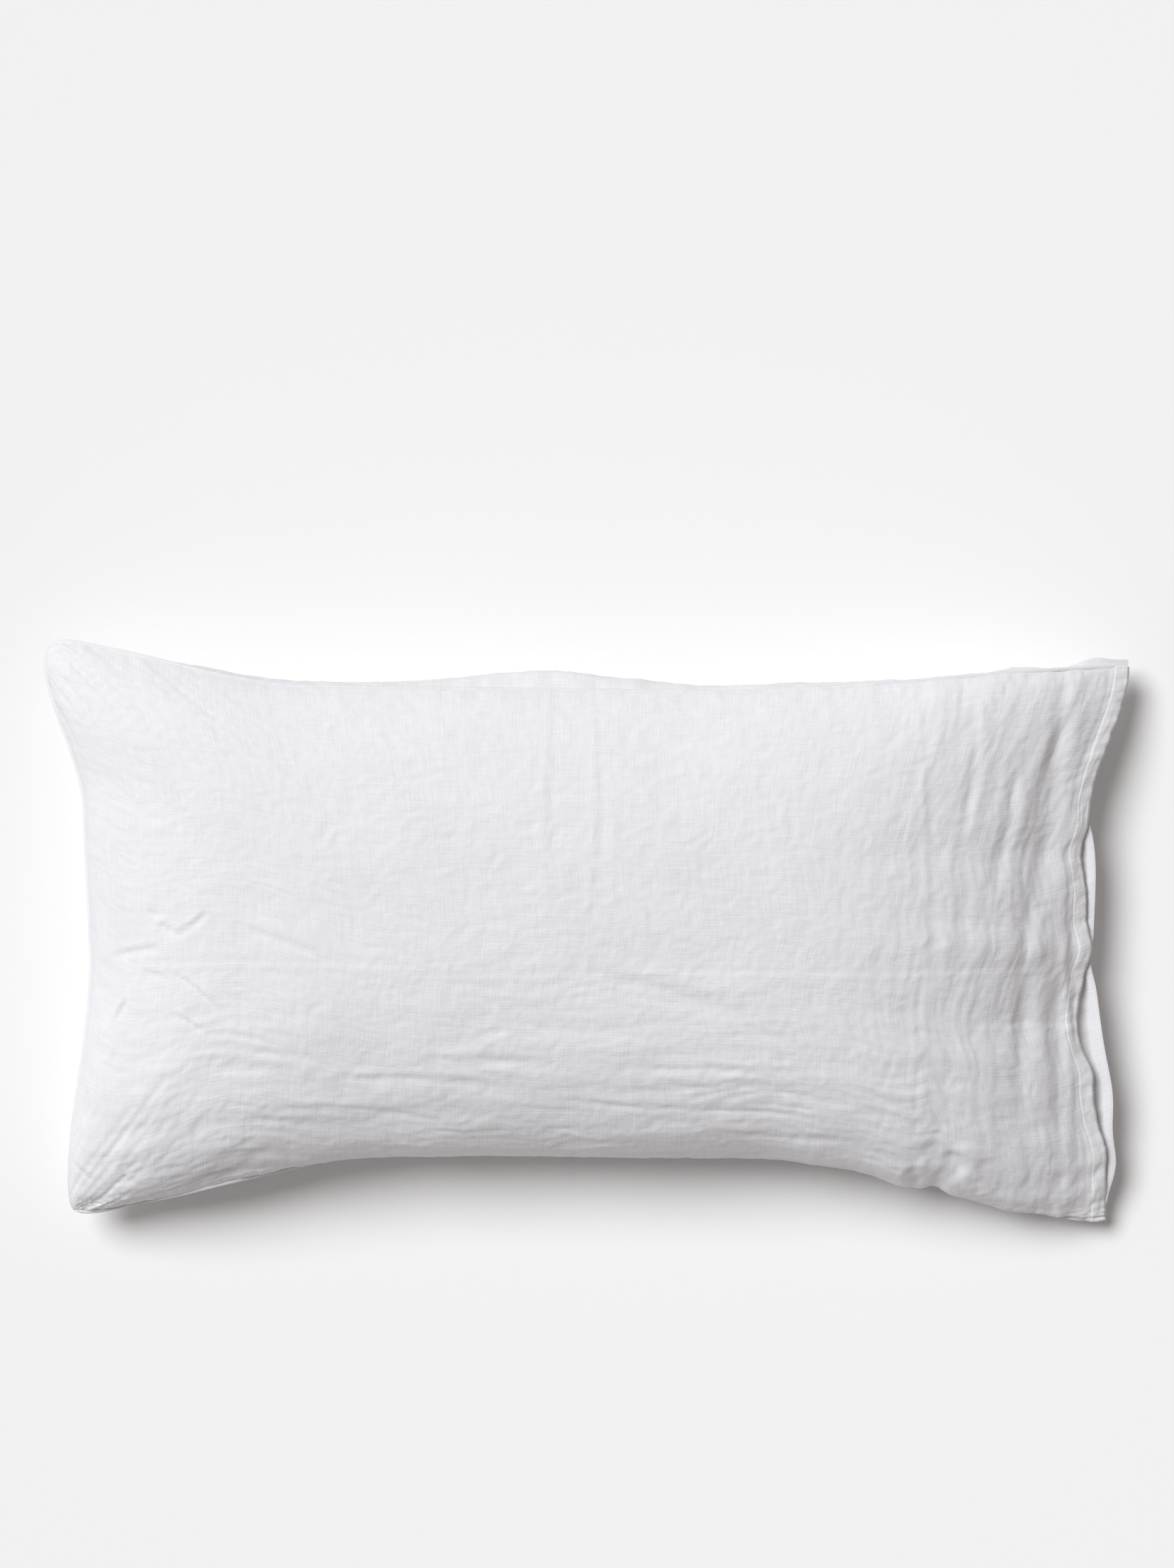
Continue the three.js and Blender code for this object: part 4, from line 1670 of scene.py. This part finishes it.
FRONT_CREASES: tuple[Crease, ...] = (
    # Folds pressed in while it lay folded.
    Crease((0.004, 0.200), (0.000, 0.010), 0.0035, 0.00035, 0.004, 0.00025),
    Crease((-0.030, 0.200), (-0.034, 0.030), 0.0040, 0.0004, -0.003, 0.0003),
    Crease((0.269, 0.200), (0.272, -0.170), 0.0035, 0.0005, 0.003, 0.0003),
    Crease((-0.380, -0.026), (-0.120, -0.028), 0.0020, 0.0004, 0.003, 0.0003),
    Crease((-0.160, -0.031), (0.060, -0.029), 0.0022, 0.0003, -0.004, 0.0002),
    Crease((0.020, -0.027), (0.395, -0.030), 0.0022, 0.0004, -0.004, 0.0003),
    Crease((0.310, -0.077), (0.412, -0.080), 0.0022, 0.0005, 0.002, 0.0004),
    # Creases that fan out from the middle of the closed end.
    Crease((-0.356, 0.019), (-0.346, 0.014), 0.0019, -0.0018, 0.001, 0.0000),
    Crease((-0.350, 0.010), (-0.331, 0.001), 0.0020, -0.0024, 0.001, -0.0010),
    Crease((-0.333, 0.000), (-0.306, 0.018), 0.0020, -0.0021, -0.001, -0.0010),
    Crease((-0.386, -0.017), (-0.346, -0.010), 0.0019, -0.0021, 0.001, -0.0009),
    Crease((-0.358, -0.029), (-0.339, -0.036), 0.0019, -0.0019, 0.001, -0.0009),
    Crease((-0.334, -0.030), (-0.300, -0.058), 0.0020, -0.0023, 0.002, -0.0010),
    Crease((-0.336, -0.062), (-0.309, -0.078), 0.0019, -0.0021, 0.001, -0.0010),
    Crease((-0.383, -0.070), (-0.371, -0.052), 0.0017, -0.0018, 0.001, -0.0008),
    Crease((-0.424, -0.187), (-0.407, -0.202), 0.0020, -0.0027, 0.001, -0.0010),
    Crease((-0.282, 0.008), (-0.212, -0.017), 0.0035, -0.0010, 0.002, -0.0006),
    # Broad slack folds over the middle and the lower flank.
    Crease((0.010, -0.030), (0.142, -0.072), 0.0070, -0.0013, 0.003, -0.0008),
    Crease((-0.200, -0.116), (-0.060, -0.123), 0.0035, -0.0009, 0.004, -0.0006),
    Crease((-0.020, -0.132), (0.120, -0.141), 0.0035, -0.0010, -0.003, -0.0007),
    Crease((-0.130, -0.099), (-0.020, -0.106), 0.0035, -0.0007, 0.003, -0.0005),
    Crease((0.050, -0.109), (0.170, -0.114), 0.0035, -0.0008, 0.004, -0.0006),
    Crease((-0.250, -0.140), (-0.120, -0.150), 0.0030, -0.0009, 0.005, -0.0006),
    Crease((0.100, -0.158), (0.210, -0.166), 0.0030, -0.0009, -0.003, -0.0006),
    # Deep folds across the slack mouth, beyond the end of the insert.
    Crease((0.392, 0.215), (0.362, 0.000), 0.0090, -0.0030, 0.003, -0.0013),
    Crease((0.364, 0.040), (0.354, -0.170), 0.0080, -0.0024, -0.003, -0.0013),
    Crease((0.350, 0.130), (0.330, 0.035), 0.0055, -0.0015, 0.002, -0.0008),
    Crease((0.318, 0.190), (0.300, 0.060), 0.0050, -0.0010, 0.003, -0.0007),
    Crease((0.388, 0.010), (0.394, -0.210), 0.0050, 0.0018, 0.004, 0.0008),
    # Dents at the lower corner of the mouth.
    Crease((0.262, -0.192), (0.276, -0.206), 0.0080, -0.0040, 0.0, -0.0020),
    Crease((0.292, -0.178), (0.306, -0.198), 0.0080, -0.0040, 0.002, -0.0020),
)


# ---- the insert ----


@dataclass
class Insert:
    """The insert: a piped cotton ticking filled with lofted fibre."""

    case: CaseForm
    shop: Workshop
    steps: tuple[int, int] = (260, 150)
    short: float = 0.0150
    mouth_gap: float = 0.022
    lower: float = 0.0050
    floor_gap: float = 0.0016
    under_short: float = 0.004
    mouth_drop_share: float = 0.7
    mouth: DrawnEdge = DrawnEdge(0.022, (-1.0, -0.2), (0.3, 1.0))
    mouth_profile: tuple[float, float] = (4.8, 0.80)
    corner_round: float = 0.016
    relief_depth: float = 0.0035
    piping: float = 0.0021
    fill_inset: float = 0.0045
    care: CareLabel = CareLabel("insert_care_label", (0.030, 0.045), 0.0015)
    pieces: dict[str, bpy.types.Object] = field(default_factory=dict)

    def form(self, inset: float) -> CaseForm:
        """The insert's form, or a layer inside it.

        Args:
            inset: How far inside the ticking the layer lies.

        Returns:
            The smaller form.
        """
        c = self.case
        return CaseForm(
            c.half_length - self.short - inset,
            c.half_width - self.short - inset,
            c.crown - self.lower - inset,
            seam_height=c.seam_height,
            mouth_drop=c.mouth_drop * self.mouth_drop_share,
            corner_drop=c.corner_drop,
            under_depth=c.under_depth - self.under_short - inset,
            upper_seam_turn=0.0,
            lower_seam_turn=0.0,
            seam_rise=0.0,
            slack=c.slack,
            hem=self.mouth,
            hem_waves=(),
            mouth_profile=self.mouth_profile,
            corner_round=self.corner_round,
            lower_corner_share=1.0,
        )

    def layer(self, form: CaseForm, u: np.ndarray, turn: np.ndarray) -> np.ndarray:
        """Points of a layer of the insert, which ends short of the case's mouth.

        Args:
            form: The layer's form.
            u: Place along the pillow.
            turn: Angle around the section.

        Returns:
            Points of shape (..., 3).
        """
        points = form.place(u, turn)
        points[..., 0] -= self.mouth_gap * (1 + u) / 2
        return points

    def half(self, inset: float, under: bool, steps: tuple[int, int]) -> tuple[np.ndarray, Lay]:
        """One half of the insert's cover.

        Args:
            inset: How far inside the ticking.
            under: True for the bottom half.
            steps: Points along and across.

        Returns:
            Grid of points, and its lay.
        """
        form = self.form(inset)
        turn_of = form.turn_under if under else form.turn_of
        lay = form.lay_out(steps, under, samples=3001)
        u, v = lay.grid
        points = self.layer(form, u, turn_of(u, v))
        points[..., 2] = np.maximum(points[..., 2], self.floor_gap + inset)
        return points, lay

    def mouth_relief(self, x: np.ndarray, v: np.ndarray) -> np.ndarray:
        """How far the insert's top stays below the case's folds near the mouth.

        Args:
            x: Distance along the pillow.
            v: Place across it, -1 to 1.

        Returns:
            Depth at each point, metres.
        """
        return self.relief_depth * smooth(0.20, 0.33, x) * (1 - np.abs(v) ** 8)

    def build(self) -> None:
        """Build every piece of the insert."""
        for under, name in ((False, "ticking_top"), (True, "ticking_bottom")):
            points, lay = self.half(0.0, under, self.steps)
            s, t = lay.cloth
            u, v = lay.grid
            n = grid_normals(points) * (-1 if under else 1)
            edge = np.exp(-(1 - np.abs(v)) * 0.23 / 0.022)
            ends = np.exp(-(1 - np.abs(u)) * 0.44 / 0.022)
            relief = -0.0007 + 0.0010 * edge * noise(s / 0.014, t / 0.09, 91)
            relief += 0.0010 * ends * noise(s / 0.09, t / 0.013, 92)
            relief += 0.0006 * crumple(s / 0.07, t / 0.05, 93)
            if under:
                relief = np.minimum(relief, 0.0)
            else:
                relief -= self.mouth_relief(points[..., 0], v)
            held = (1 - np.abs(u) ** 40) * (1 - np.abs(v) ** 60)
            points = points + n * (relief * held)[..., None]
            points[..., 2] = np.maximum(points[..., 2], self.floor_gap)
            self.pieces[name] = self.shop.cloth(name, points, lay.cloth, Slot.TICKING, flip=under)
        self.pipe()
        self.filling()
        self.label()
        self.declare()

    def outline(self, count: int) -> np.ndarray:
        """The closed seam line around the insert, in so many points."""
        line = np.linspace(-1, 1, 500)
        one = np.ones(500)
        ends = math.pi * (1 + line) / 2
        u = np.concatenate([line, one, line[::-1], -one])
        turn = np.concatenate([0 * one, ends, math.pi * one, ends[::-1]])
        path = self.layer(self.form(0.0), u, turn)
        path = path[np.concatenate([[True], np.diff(distances(path)) > SAME_POINT])]
        return resampled(np.concatenate([path, path[:1]]), count, endpoint=False)

    def pipe(self) -> None:
        """Build the piping around the insert."""
        path = self.outline(900)
        for _ in range(3):
            path = (np.roll(path, 1, axis=0) + 2 * path + np.roll(path, -1, axis=0)) / 4
        along = unit(np.roll(path, -1, axis=0) - np.roll(path, 1, axis=0))
        out = unit(np.cross(along, (0, 0, 1.0)))
        up = unit(np.cross(out, along))
        path = path + out * 0.0008
        name, radii = "ticking_piping", (self.piping, self.piping)
        self.pieces[name] = self.shop.tube(name, path, out, up, radii, Slot.TICKING, sides=12, closed=True)

    def filling(self) -> None:
        """Build the filling as one closed, lofted body."""
        top, lay = self.half(self.fill_inset, False, (170, 100))
        u, v = lay.grid
        bottom = self.layer(self.form(self.fill_inset), u, -math.pi * (1 + v) / 2)
        bottom[..., 2] = np.maximum(bottom[..., 2], self.floor_gap + 0.0012)
        s, t = lay.cloth
        tuft = 0.0016 * crumple(s / 0.035, t / 0.035, 95) - 0.0016
        tuft -= self.mouth_relief(top[..., 0], v)
        held = (1 - np.abs(u) ** 40) * (1 - np.abs(v) ** 40)
        top = top + grid_normals(top) * (tuft * held)[..., None]
        loop = np.concatenate([top, bottom[:, ::-1][:, 1:-1]], axis=1)
        cloth = tuple(np.concatenate([c, c[:, ::-1][:, 1:-1]], axis=1) for c in (s, t))
        piece = self.shop.cloth("fill_core", loop, cloth, Slot.FIBRE, around=True)
        with edited(piece.data) as work:
            bmesh.ops.remove_doubles(work, verts=work.verts, dist=SAME_POINT)
            bmesh.ops.holes_fill(work, edges=[e for e in work.edges if e.is_boundary], sides=0)
        self.pieces["fill_core"] = piece

    def label(self) -> None:
        """Build the insert's care label, which lies on the ticking beside the piping."""
        form = self.form(0.0)
        u, v = self.care.grid(form)
        points = self.layer(form, u, form.turn_of(u, v))
        n = grid_normals(points)
        rise = 0.0012 + 0.0004 * np.sin((v + 1) * 30)
        outer = points + n * (rise + RIBBON)[..., None]
        inner = points + n * rise[..., None]
        self.pieces[self.care.node] = self.care.ribbon(self.shop, form, outer, inner)

    def declare(self) -> None:
        """Join every piece to the frame."""
        join_frame(self.pieces, INSERT_BODY)


# ---- the studio ----


@dataclass
class Studio:
    """Plain pale floor, one large soft light from the upper left, and a camera straight above."""

    frame_width: float = 0.9605
    aspect: float = 2212 / 1656
    aim: tuple[float, float, float] = (0.0, 0.1227, 0.075)
    lens: float = 120.0
    sensor: float = 36.0
    sun_from: tuple[float, float, float] = (-0.56, 0.47, 1.0)
    sun_strength: float = 2.94
    sun_angle: float = 32.0
    sun_colour: Colour = (0.982, 1.0, 1.012)
    sky_strength: float = 0.242
    sky_colour: Colour = (1.085, 1.0, 0.955)
    floor_tone: float = 0.88
    floor_reach: float = 30.0

    def camera(self) -> None:
        """Place the camera."""
        data = bpy.data.cameras.new("camera")
        data.lens = self.lens
        data.sensor_fit = "VERTICAL"
        data.sensor_height = self.sensor
        data.clip_end = 50.0
        height = self.frame_width * self.aspect
        distance = height * self.lens / self.sensor
        camera = bpy.data.objects.new("camera", data)
        camera.location = (self.aim[0], self.aim[1], self.aim[2] + distance)
        bpy.context.scene.camera = link(camera)

    def floor(self) -> None:
        """Lay the floor."""
        mesh = bpy.data.meshes.new("floor")
        r = self.floor_reach
        mesh.from_pydata([(-r, -r, 0), (r, -r, 0), (r, r, 0), (-r, r, 0)], [], [(0, 1, 2, 3)])
        floor = link(bpy.data.objects.new("floor", mesh))
        material = bpy.data.materials.new("pale_floor")
        material.use_nodes = True
        shader = material.node_tree.nodes["Principled BSDF"]
        shader.inputs["Base Color"].default_value = (*tinted(WHITE, self.floor_tone), 1.0)
        shader.inputs["Roughness"].default_value = 1.0
        shader.inputs["Specular IOR Level"].default_value = 0.0
        mesh.materials.append(material)

    def lights(self) -> None:
        """Set the light and the even fill."""
        sun = bpy.data.lights.new("window", "SUN")
        sun.energy = self.sun_strength
        sun.angle = math.radians(self.sun_angle)
        sun.color = self.sun_colour
        lamp = bpy.data.objects.new("window", sun)
        lamp.rotation_euler = Vector(self.sun_from).to_track_quat("Z", "Y").to_euler()
        link(lamp)
        world = bpy.data.worlds.new("studio")
        world.use_nodes = True
        background = world.node_tree.nodes["Background"]
        background.inputs["Color"].default_value = (*self.sky_colour, 1.0)
        background.inputs["Strength"].default_value = self.sky_strength
        bpy.context.scene.world = world

    def build(self) -> None:
        """Set up the studio."""
        self.camera()
        self.floor()
        self.lights()
        bpy.context.scene.view_settings.view_transform = "Standard"


def main() -> None:
    """Build the pillow and its studio."""
    logging.basicConfig(level=logging.INFO)
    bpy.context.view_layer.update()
    Studio().build()
    form = CaseForm.of_frame()
    shop = Workshop(Finishes())
    simulation = SlackSimulation()
    lay = form.lay_out(simulation.steps, False)
    form = replace(form, slack=simulation.run(form, lay))
    Pillowcase(form, shop).build()
    Insert(form, shop).build()


if __name__ == "__main__":
    main()
